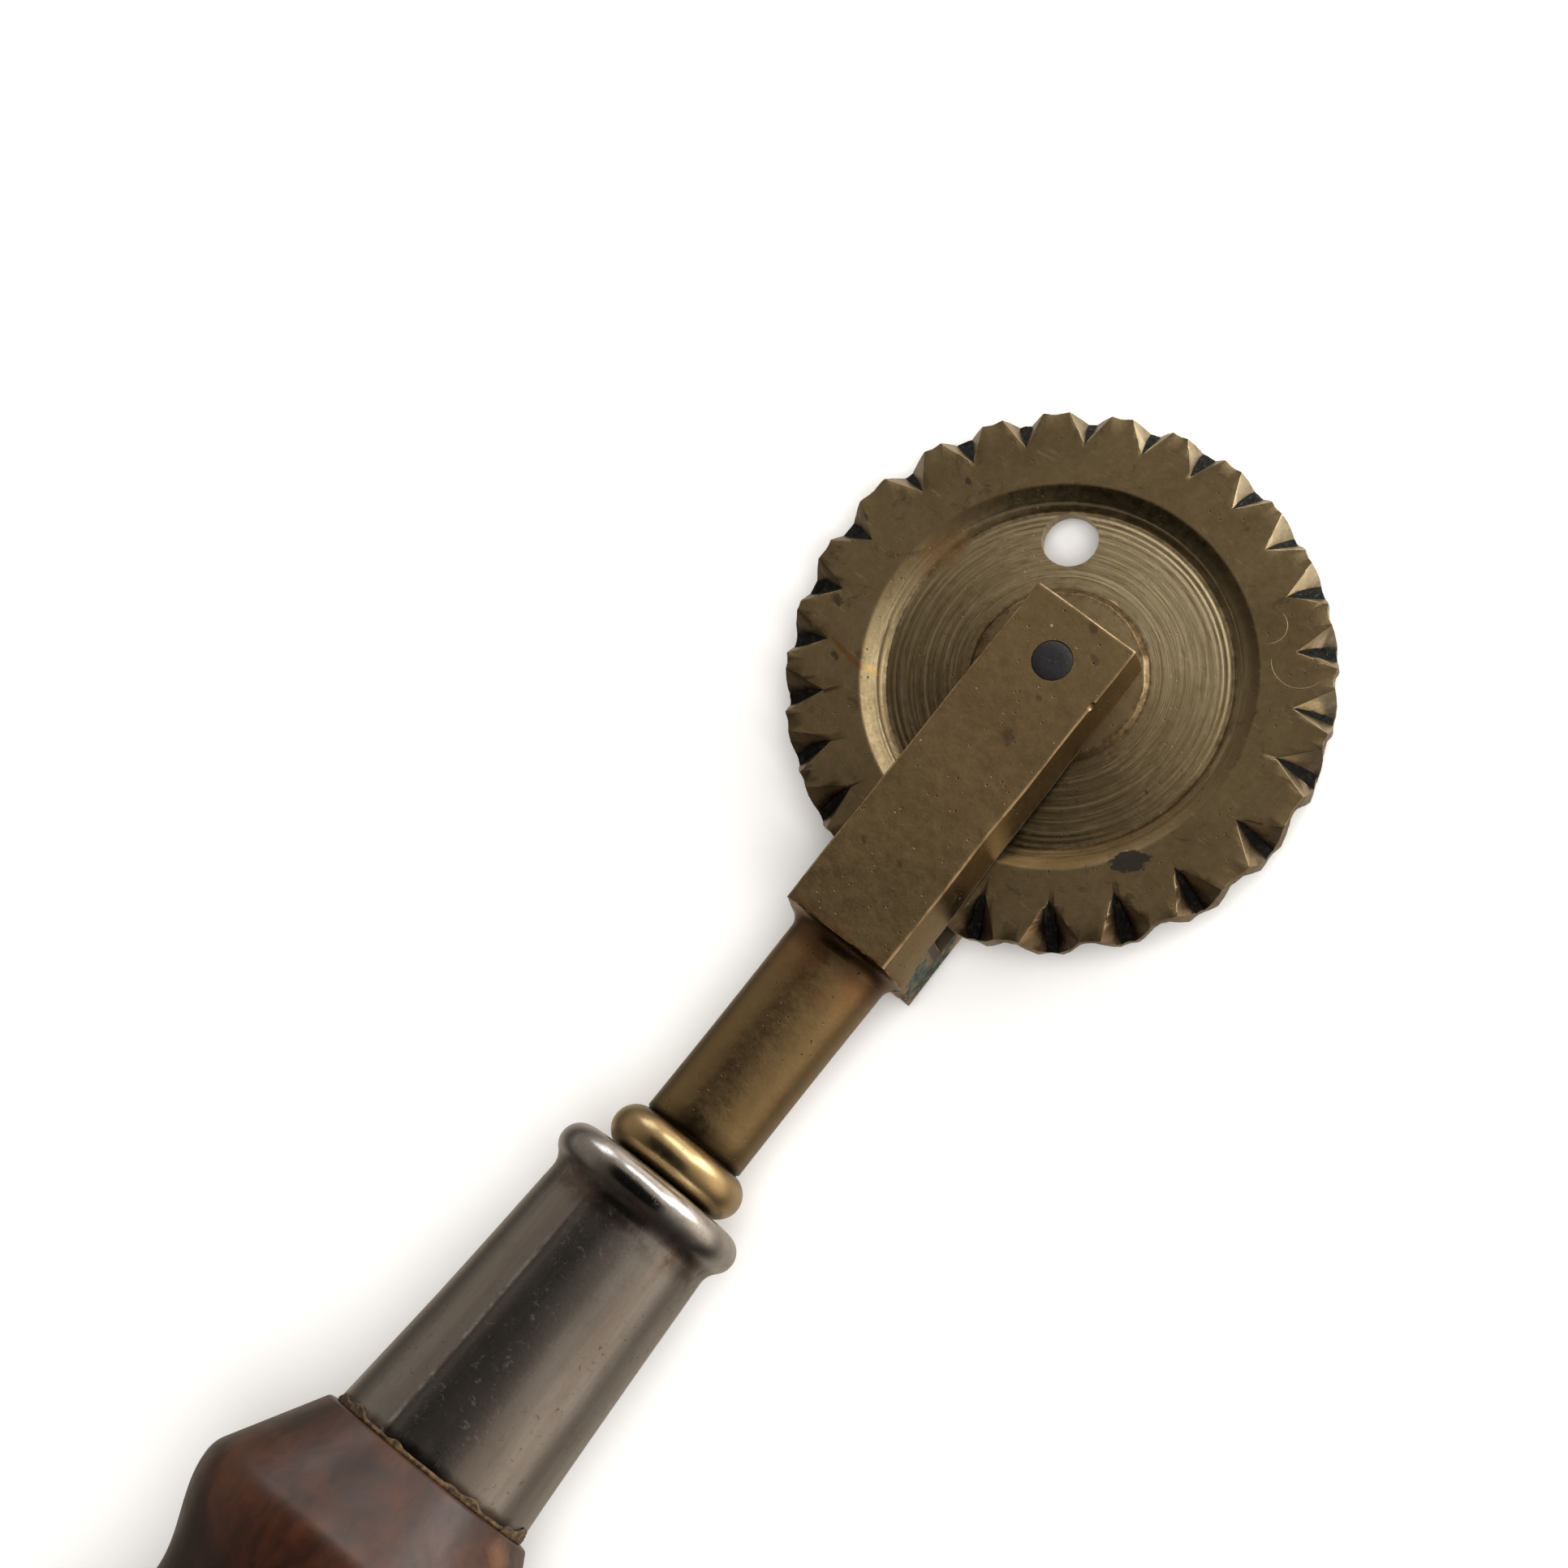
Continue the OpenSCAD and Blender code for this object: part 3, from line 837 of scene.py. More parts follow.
def ferrule_steel():
    """Old sheet steel: cloudy, streaked along the cone, rusty in places and bright on the bead."""
    graph = Surface("ferrule_steel", Metallic=1.0)
    x, y, z = graph.split(graph.place)
    streaks = graph.noise(0.55, 5, 0.65, at=graph.stretched(0.10, 1, 1))
    colour = graph.mix(graph.step(streaks, 0.35, 0.68), (0.300, 0.284, 0.278), (0.255, 0.224, 0.208))
    cloudy = graph.step(graph.noise(0.35, 6, 0.7, 0.5), 0.5, 0.68)
    colour = graph.stained(colour, cloudy, 0.35, (0.20, 0.170, 0.155))
    rust = graph.step(graph.noise(1.5, 6, 0.75, 0.6), 0.58, 0.68)
    rust = graph.times(rust, graph.step(graph.noise(0.25, 3), 0.38, 0.58))
    colour = graph.stained(colour, rust, 0.7, (0.07, 0.036, 0.028))
    colour = ferrule_scale(graph, colour, x)
    # Painted highlight along the seam.
    colour = painted_seam_highlight(graph, colour, x, y, z)
    bead = graph.step(x, AX + FERRULE_FRONT - 3.6, AX + FERRULE_FRONT - 2.6)
    bright = graph.step(graph.noise(0.5, 5, 0.6), 0.30, 0.62, 0.85, 0.35)
    colour = graph.stained(colour, bead, bright, (0.50, 0.49, 0.50))
    roughness = graph.step(streaks, 0.3, 0.7, 0.26, 0.32)
    roughness = graph.minus(roughness, graph.times(bead, 0.08))
    roughness = graph.plus(roughness, graph.times(rust, 0.25))
    normal = graph.bump(streaks, 0.04, 0.1)
    normal = graph.bump(graph.minus(graph.noise(2.5, 6, 0.7), rust), 0.15, 0.06, normal)
    return graph.finish(colour, roughness, normal)


def resin():
    """Lumpy pitch, dark with golden-brown places."""
    graph = Surface("resin", Metallic=0.0)
    lumps = graph.noise(1.6, 6, 0.7)
    colour = graph.mix(graph.step(lumps, 0.4, 0.65), (0.028, 0.016, 0.009), (0.125, 0.076, 0.030))
    roughness = graph.step(lumps, 0.3, 0.7, 0.5, 0.8)
    normal = graph.bump(lumps, 0.8, 0.15)
    return graph.finish(colour, roughness, normal)


# Dark clouds in the wood, partly real figure and partly painted shade: distance along X from the crest,
# place across, height, and half length.
WOOD_SHADOWS = ((6.0, 0.5, 11.0, 5.5), (-4.0, 7.0, 12.0, 8.0), (-8.0, 2.0, 14.0, 9.0))


def handle_wood():
    """Dark varnished hardwood, with its grain along the handle, a redder tint in places, painted shade
    behind the crest and a painted highlight on one side of the cone.
    """
    finish = {"Coat_Weight": 0.25, "Coat_Roughness": 0.30, "Specular_IOR_Level": 0.3}
    graph = Surface("handle_wood", Metallic=0.0, **finish)
    along = graph.stretched(0.05, 1, 1)
    warp = graph.times(graph.noise(0.10, 3, 0.5), 6)
    grown = graph.vector("ADD", along, graph.join(warp, warp, 0))
    grain = graph.noise(0.55, 6, 0.65, 0.6, at=grown)
    colour = graph.mix(graph.step(grain, 0.32, 0.68), (0.046, 0.014, 0.007), (0.021, 0.008, 0.005))
    broad = graph.step(graph.noise(0.065, 4, 0.6, 0.8), 0.42, 0.62)
    colour = graph.stained(colour, broad, 0.75, (0.010, 0.005, 0.005))
    warm = graph.step(graph.noise(0.10, 4, 0.6, 0.5), 0.50, 0.70)
    colour = graph.stained(colour, warm, 0.6, (0.085, 0.024, 0.009))
    crest = AX + FERRULE_BACK - CREST_AT
    for along, across, height, length in WOOD_SHADOWS:
        spot = (crest + along, across, height)
        # Dark clouds in the wood, partly painted shade.
        dark = graph.patch(spot, length, length * 0.4, (0.3, -1, 0.2), 4.5, 0.3, -1.0)
        colour = graph.stained(colour, dark, 0.55, (0.010, 0.005, 0.006))
    # Painted shade: darker from just behind the crest all the way back to the tail.
    waist = graph.step(graph.split(graph.place)[0], crest - 1, crest - 9, 0.0, 0.6)
    colour = graph.mix(waist, colour, (0.010, 0.005, 0.004))
    # Painted highlight: a paler patch on the side of the cone where the light falls.
    painted_sheen = graph.patch((crest + 7.5, -10.0, 4.0), 4.0, 2.6, (0.3, -1, 0.2), 3.0, 0.4, -0.5)
    colour = graph.stained(colour, painted_sheen, 0.5, (0.22, 0.10, 0.045))
    pores = graph.step(graph.noise(2.6, 3, 0.6, at=graph.stretched(0.12, 1, 1)), 0.60, 0.72)
    colour = graph.stained(colour, pores, 0.4, (0.016, 0.008, 0.007))
    flecks = graph.step(graph.noise(1.6, 4, 0.7), 0.72, 0.78)
    colour = graph.stained(colour, flecks, 0.35, (0.25, 0.13, 0.07))
    roughness = graph.step(graph.noise(0.3, 4, 0.6), 0.3, 0.7, 0.36, 0.52)
    normal = graph.bump(graph.noise(0.25, 3, 0.5), 0.2, 0.4)
    normal = graph.bump(graph.minus(grain, pores), 0.10, 0.10, normal)
    return graph.finish(colour, roughness, normal)


# ---------------------------------------------------------------- the wheel


def notch_places():
    """(angle, radius) of each notch's point on the upper and on the lower face, read from the CAD wheel."""
    found = {1: [], -1: []}
    for vertex in frame["nodes"]["wheel"].data.vertices:
        x, y, z = (c / MM for c in vertex.co)
        radius = math.hypot(x - AX, y)
        face = 1 if z > 0 else -1
        if abs(abs(z) - WHEEL_H) < 0.002 and DISH_R + 1 < radius < WHEEL_R - 1:
            angle = math.atan2(y, x - AX)
            if all(abs(angle - other) > 0.02 for other, _ in found[face]):
                found[face].append((angle, radius))
    return {face: sorted(places) for face, places in found.items()}


def web_profile():
    """(height, radius) points across the web: a shallow cone with fine ridges left by the turning."""
    web = []
    steps = 84
    for i in range(steps + 1):
        t = i / steps
        radius = BOSS_FOOT_R + (DISH_FOOT_R - BOSS_FOOT_R) * t
        cone = BOSS_FOOT_H + (WEB_H - 0.1 - BOSS_FOOT_H) * t
        ridge = 0.016 * noise.noise(Vector((radius * 1.7, 0, 0)))
        ridge = ridge + 0.010 * noise.noise(Vector((radius * 5, 4, 0)))
        near_wall = max(0.0, 1 - abs(radius - 13.5) / 1.0)
        ridge += 0.022 * near_wall * math.sin(radius * TURN / 0.52)
        web.append((cone + ridge, radius))
    return web


def wheel_outline():
    """Section of the blank from the bore over the upper face to the rim, then back under it."""
    upper = [(WHEEL_H, BORE_R), (WHEEL_H, BOSS_R), *web_profile()]
    upper += [(0.80, DISH_FOOT_R + 0.12), (1.00, DISH_FOOT_R + 0.42), (1.05, DISH_FOOT_R + 0.62)]
    upper += [(1.05, DISH_FOOT_R + 0.72), (1.12, DISH_FOOT_R + 0.82), (1.36, DISH_FOOT_R + 1.3)]
    upper += [(1.60, DISH_R - 0.20), (WHEEL_H - 0.035, DISH_R - 0.05), (WHEEL_H, DISH_R + 0.05)]
    upper += [(WHEEL_H, r) for r in (DISH_R + 0.2, DISH_R + 0.5, 17.6, 19.2, 20.8)]
    upper += [(WHEEL_H, WHEEL_R - 0.02), (WHEEL_H / 3, WHEEL_R)]
    return upper + [(-z, r) for z, r in reversed(upper)]


def notch_place(angle, radius, face, skew, slope):
    """Puts a file's edge at a notch's point, turned to its direction, skew and slope."""
    return (
        Matrix.Translation((AX, 0, 0))
        @ Matrix.Rotation(angle, 4, "Z")
        @ Matrix.Scale(face, 4, (0, 0, 1))
        @ Matrix.Translation((radius, 0, WHEEL_H))
        @ Matrix.Rotation(skew, 4, "Z")
        @ Matrix.Rotation(slope, 4, "Y")
    )


def notch_cutter(angle, radius, face, dice):
    """A three-sided prism, as a file leaves it, on a lumpy bed of dirt that grows deeper outwards.
    Its edge runs from the face down to the other side's rim."""
    run = WHEEL_R - radius
    slope = math.atan(2 * WHEEL_H / run)
    slope += math.radians(dice.uniform(-1, 4))
    before, reach, depth = 0.6, run / math.cos(slope) + 0.9, 2.7
    left = depth * math.tan(NOTCH_HALF_ANGLE + math.radians(dice.uniform(-3, 4)))
    right = depth * math.tan(NOTCH_HALF_ANGLE + math.radians(dice.uniform(-3, 4)))
    skew = math.radians(dice.uniform(-4, 4))
    place = notch_place(angle, radius, face, skew, slope)
    packed = NOTCH_FILL * dice.uniform(0.6, 1.25)
    bm = bmesh.new()
    stations = 12
    rings = []
    for i in range(stations + 1):
        x = -before + (reach + before) * i / stations
        fill = packed * (1 - (1 - min(1.0, max(0.0, x / reach))) ** 3)
        lump = dice.uniform(-0.3, 0.5) * fill
        spread = fill / depth
        dirt = [(-right * spread, fill), (0, fill + lump), (left * spread, fill)]
        section = [*dirt, (left, depth), (-right, depth)]
        rings.append([bm.verts.new(place @ Vector((x, y, z))) for y, z in section])
    bm.faces.new(rings[0])
    bm.faces.new(rings[-1])
    wall = NOTCH_UPPER if face > 0 else NOTCH_LOWER
    for a, b in zip(rings, rings[1:]):
        for i in range(len(section)):
            j = (i + 1) % len(section)
            bm.faces.new((a[i], a[j], b[j], b[i])).material_index = DIRT if i < 2 else wall
    bmesh.ops.remove_doubles(bm, verts=bm.verts, dist=1e-5)
    bmesh.ops.recalc_face_normals(bm, faces=bm.faces)
    return bm


def rim_nick(dice):
    """A small dent somewhere on the rim's edge."""
    angle, face, size = dice.uniform(0, TURN), dice.choice((1, -1)), dice.uniform(0.12, 0.3)
    bm = bmesh.new()
    bmesh.ops.create_icosphere(bm, subdivisions=2, radius=size)
    shape = Matrix.Diagonal((0.8, dice.uniform(1.0, 2.2), 0.7, 1))
    place = Matrix.Translation((AX, 0, 0)) @ Matrix.Rotation(angle, 4, "Z")
    place = place @ Matrix.Translation((WHEEL_R + size * 0.45, 0, face * WHEEL_H))
    bmesh.ops.transform(bm, matrix=place @ shape, verts=bm.verts)
    return bm


def in_notch(edge):
    """Whether an edge borders the dirt packed in a notch."""
    return any(face.material_index == DIRT for face in edge.link_faces)


def at_rim(edge):
    """Whether an edge lies on the wheel's outline and clear of the dirt in the notches."""
    far = all(math.hypot(v.co.x - AX, v.co.y) > WHEEL_R - 0.35 for v in edge.verts)
    return far and not in_notch(edge)


def from_axle(vertex):
    """The way from the axle out to a vertex, along the wheel's plane."""
    return Vector((vertex.co.x - AX, vertex.co.y, 0))


def age_blank(bm):
    """Moves the rim's outline and the hub's edge in and out a little."""
    for vertex in bm.verts:
        out = from_axle(vertex)
        if out.length > DISH_R + 2:
            push = noise.noise(Vector((out.x * 0.22, out.y * 0.22, 3.0))) * 0.10
            vertex.co += out.normalized() * push * (out.length - DISH_R - 2) / 4
        if abs(out.length - BOSS_R - 0.15) < 0.4:
            push = noise.noise(Vector((out.x * 0.6, out.y * 0.6, 6.0))) * 0.12
            vertex.co += out.normalized() * push


def wear_rim(bm, angles):
    """Wears the rim back at each notch, which leaves the outline scalloped."""
    margin = 1.5
    for vertex in bm.verts:
        out = from_axle(vertex)
        if out.length > WHEEL_R - margin:
            angle = math.atan2(out.y, out.x)
            gap = min(abs(math.remainder(angle - other, TURN)) * WHEEL_R for other in angles)
            worn = RIM_WEAR * math.exp(-((gap / RIM_WEAR_REACH) ** 2))
            vertex.co -= out.normalized() * worn * min(1.0, out.length - WHEEL_R + margin)


def wheel():
    """The wheel: a turned blank, worn, then filed, drilled and nicked, with its edges rounded."""
    dice = random.Random(11)
    bm = lathe(wheel_outline(), 288, "Z", closed=True)
    age_blank(bm)
    places = notch_places()
    both = places[1] + places[-1]
    wear_rim(bm, [angle for angle, _ in both])
    for face in (1, -1):
        cutters = [notch_cutter(angle, radius, face, dice) for angle, radius in places[face]]
        bm = carved(bm, merged(*cutters))
    drill = lathe([(-3, 0), (-3, HOLE_R), (3, HOLE_R), (3, 0)], 72, "Z", closed=False)
    shift = Matrix.Rotation(HOLE_ANGLE, 4, "Z") @ Vector((HOLE_AT, 0, 0))
    bmesh.ops.translate(drill, vec=shift, verts=drill.verts)
    bm = carved(bm, drill)
    nicks = [rim_nick(dice) for _ in range(14)]
    for nick in nicks:
        bm = carved(bm, nick)
    without_crumbs(bm)
    soften(bm, 0.05, 2, 40, keep=lambda edge: not at_rim(edge) and not in_notch(edge))
    soften(bm, 0.06, 2, 40, keep=at_rim, worn=WORN_RIM)
    mean_r = sum(radius for _, radius in both) / len(both)
    slope = math.atan(2 * WHEEL_H / (WHEEL_R - mean_r))
    materials = [
        wheel_brass(),
        notch_brass("notch_brass_upper", 1, mean_r, slope),
        notch_brass("notch_brass_lower", -1, mean_r, slope),
        worn_brass("wheel_worn", (0.40, 0.33, 0.21)),
        notch_dirt(),
    ]
    return finished("jagger_wheel", bm, "roller", "wheel", materials)


# ---------------------------------------------------------------- the fork and its pin


def side_bulge(x, z):
    """How far the block's filed side stands out: more at mid-height and towards the neck."""
    share = min(1.0, max(0.0, (FORK_TIP - x) / (FORK_TIP - FORK_BACK)))
    if abs(z) <= SLOT_H:
        height = 1.0
    else:
        height = (EAR_H - abs(z)) / (EAR_H - SLOT_H)
    if z < 0:
        height = max(height, 0.5)
    return (0.15 + 0.85 * share) * max(0.0, height)


def on_block(edge):
    """Whether an edge lies on the fork's block, clear of the neck and of the pin's hole."""
    return all(
        v.co.x > AX + FORK_BACK - 0.1 and math.hypot(v.co.x - AX, v.co.y) > PIN_R + 0.3 for v in edge.verts
    )


def fork_block(root):
    """The block: a bar with bulging sides, cut to a round shoulder behind."""
    block_end = root - 2
    low, high = (AX + block_end, -FORK_W, -EAR_H), (AX + FORK_TIP, FORK_W, EAR_H)
    block = filed_bar(low, high, 0.18, 2.0, 0.10, seed=4.0)
    for vertex in block.verts:
        share = vertex.co.y / FORK_W
        bulge = side_bulge(vertex.co.x - AX, vertex.co.z)
        vertex.co.y += bulge * (share if share < 0 else 0.4 * share)
    corner = math.hypot(FORK_W + 1.2, EAR_H)
    blend = arc(root, NECK_R + NECK_BLEND, NECK_BLEND, 180, 90, 10)
    outline = [(root, 0), *blend, (FORK_BACK, corner), (FORK_TIP + 1, corner), (FORK_TIP + 1, 0)]
    return carved(block, lathe(outline, 96, "X", closed=False), "INTERSECT")


def fork_neck(root):
    """The neck, slightly waisted, and the spigot behind it that carries the collar."""
    start, end = root + 0.2, COLLAR_FRONT + 0.25
    neck = [(root + 0.4, 0), (root + 0.4, NECK_R - 0.01)]
    steps = 10
    for i in range(steps + 1):
        x = start + (end - root - 0.2) * i / steps
        neck.append((x, NECK_R - 0.05 * math.sin(math.pi * i / steps)))
    neck += [(COLLAR_FRONT, NECK_R - 0.2), (COLLAR_FRONT, SPIGOT_R), (FERRULE_FRONT - 0.9, SPIGOT_R)]
    neck += [(FERRULE_FRONT - 0.9, 0)]
    return lathe(neck, 96, "X", closed=False)


def fork():
    """The fork: a filed block with a slot, the pin's holes and a nick, joined to a round neck."""
    root = FORK_BACK - NECK_BLEND
    bm = fork_block(root)
    slot_low, slot_high = (AX + SLOT_BACK, -12, -SLOT_H), (AX + FORK_TIP + 3, 12, SLOT_H)
    bm = carved(bm, rounded_block(slot_low, slot_high, 3.0, 0.03, seed=9.0))
    for side in (1, -1):
        near, far = side * 1.0, side * 8.0
        bm = carved(bm, lathe([(near, 0), (near, PIN_R), (far, PIN_R), (far, 0)], 64, "Z", closed=False))

    # A nick in the long edge of the upper ear.
    nick = bmesh.new()
    bmesh.ops.create_icosphere(nick, subdivisions=3, radius=0.6)
    bmesh.ops.translate(nick, vec=(AX - 1.2, -FORK_W - 0.22, EAR_H + 0.22), verts=nick.verts)
    bm = carved(bm, nick)
    bm = carved(bm, fork_neck(root), "UNION")
    soften(bm, 0.10, 3, angle=40, keep=on_block, worn=1)
    materials = [fork_brass(), worn_brass("fork_worn", (0.46, 0.33, 0.205))]
    return finished("jagger_fork", bm, "holder", "fork", materials, sharp=40)


def axle_pin():
    """The rivet, peened to a slight dome and cut flush with the ears."""
    r, h, round_off = PIN_R - 0.03, EAR_H, 0.12
    end = [(h + 0.03, 0), (h + 0.02, r * 0.5), (h - 0.01, r - round_off)]
    end += [(h - 0.06, r - 0.03), (h - 0.16, r)]
    outline = end + [(z, r) for z in (2.0, -2.0)] + [(-z, radius) for z, radius in reversed(end)]
    bm = lathe(outline, 64, "Z", closed=False)
    for vertex in bm.verts:
        out = Vector((vertex.co.x - AX, vertex.co.y, 0))
        if abs(vertex.co.z) > h - 0.2 and out.length > 0.5:
            vertex.co += out.normalized() * noise.noise(out * 0.9) * 0.05
    return finished("rivet_pin", bm, "holder", "axle_pin", [pin_steel()])


# ---------------------------------------------------------------- collar, ferrule, pitch and handle


def uneven(bm, amount, scale, seed):
    """Moves a turned piece's surface in and out a little."""
    for vertex in bm.verts:
        out = Vector((0, vertex.co.y, vertex.co.z))
        if out.length > 0.5:
            at = Vector((vertex.co.x * 0.6, out.y, out.z)) * scale + Vector((seed, 0, 0))
            vertex.co += out.normalized() * noise.noise(at) * amount


def collar_ring():
    """The brass bead: a half-round ring on the spigot."""
    roll = (COLLAR_FRONT - COLLAR_BACK) / 2
    middle = (COLLAR_FRONT + COLLAR_BACK) / 2
    outline = [(COLLAR_FRONT, SPIGOT_R + 0.05), *arc(middle, COLLAR_R - roll, roll, 90, -90, 36)]
    outline += [(COLLAR_BACK, SPIGOT_R + 0.05)]
    bm = lathe(outline, 160, "X", closed=True)
    uneven(bm, 0.06, 0.25, 2.0)
    return finished("neck_collar", bm, "holder", "collar_ring", [collar_brass()])


def ferrule():
    """The steel cone with its rolled bead, and a slight ridge along the seam."""
    bead = FERRULE_FRONT - FERRULE_ROLL
    bead_r = FERRULE_BEAD_R - FERRULE_ROLL
    hollow_r = FERRULE_TOP_R + FERRULE_HOLLOW
    reach = math.sqrt((FERRULE_ROLL + FERRULE_HOLLOW) ** 2 - (hollow_r - bead_r) ** 2)
    meets = math.degrees(math.atan2(reach, hollow_r - bead_r))
    roll = arc(bead, bead_r, FERRULE_ROLL, 90, -meets, 36)
    roll += arc(bead - reach, hollow_r, FERRULE_HOLLOW, 180 - meets, 180, 10)
    start = roll[-1]
    cone = [start]
    for i in range(1, 25):
        t = i / 24
        flare = 0.16 * (1 - t) ** 6
        radius = start[1] + (FERRULE_MOUTH_R - start[1]) * t - 0.10 * math.sin(math.pi * t) + flare * t
        cone.append((start[0] + (FERRULE_BACK - start[0]) * t, radius))
    outline = [(FERRULE_FRONT - 1.0, 3.5), (FERRULE_FRONT - 0.5, 3.5), (FERRULE_FRONT - 0.45, 4.6)]
    outline += [*roll, *cone[1:]]
    outline += [(FERRULE_BACK, FERRULE_MOUTH_R - FERRULE_WALL), (FERRULE_FRONT - 1.6, 6.5)]
    bm = lathe(outline, 200, "X", closed=True)
    uneven(bm, 0.07, 0.16, 5.0)
    for vertex in bm.verts:
        angle = math.atan2(vertex.co.z, vertex.co.y) - SEAM_ANGLE
        out = Vector((0, vertex.co.y, vertex.co.z))
        if abs(angle) < 0.2 and vertex.co.x < AX + FERRULE_FRONT - 5:
            vertex.co += out.normalized() * 0.05 * math.exp(-((angle / 0.03) ** 2))
    soften(bm, 0.06, 2, 50)
    return finished("steel_ferrule", bm, "holder", "ferrule", [ferrule_steel()])


def resin_bedding():
    """The line of pitch squeezed out at the ferrule's mouth, and the bed behind it."""
    front = FERRULE_FRONT - 2.0
    middle = (FERRULE_BACK + RESIN_BACK) / 2
    lip = arc(middle, RESIN_R - 0.28, 0.22, 70, -70, 8)
    outline = [(front, 0), (front, 6.2), (FERRULE_BACK + 0.3, FERRULE_MOUTH_R - FERRULE_WALL - 0.05)]
    outline += [(FERRULE_BACK - 0.04, FERRULE_MOUTH_R - FERRULE_WALL), *lip]
    outline += [(RESIN_BACK, FERRULE_MOUTH_R - FERRULE_WALL - 0.4), (front - 1.5, 5.8), (front - 1.5, 0)]
    bm = lathe(outline, 220, "X", closed=False)
    for vertex in bm.verts:
        out = Vector((0, vertex.co.y, vertex.co.z))
        if out.length > FERRULE_MOUTH_R - 0.3:
            vertex.co += out.normalized() * (0.16 * noise.noise(out * 0.8) + 0.10 * noise.noise(out * 3.1))
        if out.length > FERRULE_MOUTH_R - 0.3 and vertex.co.x > AX + RESIN_BACK + 0.05:
            vertex.co.x += max(0.0, noise.noise(out * 0.42 + Vector((2.7, 0, 0))) + 0.1) * 1.5
    return finished("pitch_bedding", bm, "holder", "resin_bedding", [resin()])


def handle():
    """The turned handle: shoulder, crest, waist, grip and domed end, with its tenon."""
    seat = RESIN_BACK - 0.03
    crest = FERRULE_BACK - CREST_AT
    waist = FERRULE_BACK - WAIST_AT
    grip = FERRULE_BACK - GRIP_AT
    tail = HANDLE_BACK + DOME
    cone_angle = math.degrees(math.atan((CREST_R - SHOULDER_R) / CREST_AT)) + 4
    outline = [(FERRULE_FRONT - 4.3, 0), (FERRULE_FRONT - 4.3, 6.0)]
    outline += [(seat, FERRULE_MOUTH_R - FERRULE_WALL - 0.5), (seat, RESIN_R + 0.1)]
    outline += arc(seat - 0.5, SHOULDER_R - 0.45, 0.45, 80, 30, 4)
    outline += arc(crest, CREST_R - CREST_ROLL, CREST_ROLL, cone_angle, 0, 12)
    outline += soft_curve((crest, CREST_R), (waist, WAIST_R), 28)
    outline += soft_curve((waist, WAIST_R), (grip, GRIP_R), 30)
    outline += soft_curve((grip, GRIP_R), (tail, TAIL_R), 36)
    for i in range(1, 19):
        a = math.pi / 2 * i / 18
        outline.append((tail - DOME * math.sin(a), TAIL_R * math.cos(a) if i < 18 else 0))
    bm = lathe(outline, 160, "X", closed=False)
    uneven(bm, 0.10, 0.07, 7.0)
    return finished("turned_handle", bm, "holder", "handle", [handle_wood()])


# ---------------------------------------------------------------- floor, light and camera

LENS = 124.8
AIM = Vector((53.0, 12.8, 0)) * MM
VIEW_FROM = Vector((-0.112, -0.293, 0.949))
VIEW_DISTANCE = 442 * MM
TOOL_SLOPE = math.radians(51.2)


def camera():
    """Looks at the wheel end from slightly behind and to one side, with the tool rising to the right."""
    back = VIEW_FROM.normalized()
    along = (Vector((1, 0, 0)) - back * back.x).normalized()
    across = back.cross(along)
    right = along * math.cos(TOOL_SLOPE) - across * math.sin(TOOL_SLOPE)
    up = back.cross(right)
    data = bpy.data.cameras.new("camera")
    data.lens = LENS
    data.sensor_width = 36
    data.clip_start = 0.01
    data.clip_end = 20
    seen = bpy.data.objects.new("camera", data)
    turn = Matrix((right, up, back)).transposed().to_4x4()
    seen.matrix_world = Matrix.Translation(AIM + back * VIEW_DISTANCE) @ turn
    bpy.context.scene.collection.objects.link(seen)
    bpy.context.scene.camera = seen


def floor():
    """A pale table that the tool lies on, touching the handle's crest and the wheel's lower rim."""
    crest = Vector((AX + FERRULE_BACK - CREST_AT, 0, -CREST_R)) * MM
    rim = Vector((AX + WHEEL_R, 0, -WHEEL_H)) * MM
    along = (rim - crest).normalized()
    across = Vector((0, 1, 0))
    normal = along.cross(across)
    gap = 0.2 * MM
    middle = crest - normal * gap
    half = 1.5
    square = ((-half, -half), (half, -half), (half, half), (-half, half))
    bm = bmesh.new()
    bm.faces.new([bm.verts.new(middle + along * a + across * b) for a, b in square])
    bmesh.ops.subdivide_edges(bm, edges=bm.edges, cuts=8, use_grid_fill=True)
    graph = Surface("table_white", Metallic=0.0, Specular_IOR_Level=0.2)
    tone = graph.mix(graph.noise(0.02, 3), (0.93, 0.93, 0.93), (0.95, 0.95, 0.95))
    roughness = graph.step(graph.noise(0.05, 2), 0, 1, 0.8, 0.9)
    table = linked("table", bm, [graph.finish(tone, roughness, graph.bump(graph.noise(0.2, 3), 0.02, 0.1))])
    table.visible_glossy = False


def softbox(name, towards, distance, width, height, radiance, colour=(1, 1, 1), mirrored=True):
    """An area light that faces the wheel end. One that isn't mirrored lights only matt surfaces."""
    data = bpy.data.lights.new(name, "AREA")
    data.shape = "RECTANGLE"
    data.size = width
    data.size_y = height
    data.energy = math.pi * width * height * radiance
    data.color = colour
    lamp = bpy.data.objects.new(name, data)
    direction = Vector(towards).normalized()
    turn = direction.to_track_quat("Z", "Y").to_matrix().to_4x4()
    lamp.matrix_world = Matrix.Translation(AIM + direction * distance) @ turn
    lamp.visible_glossy = mirrored
    bpy.context.scene.collection.objects.link(lamp)


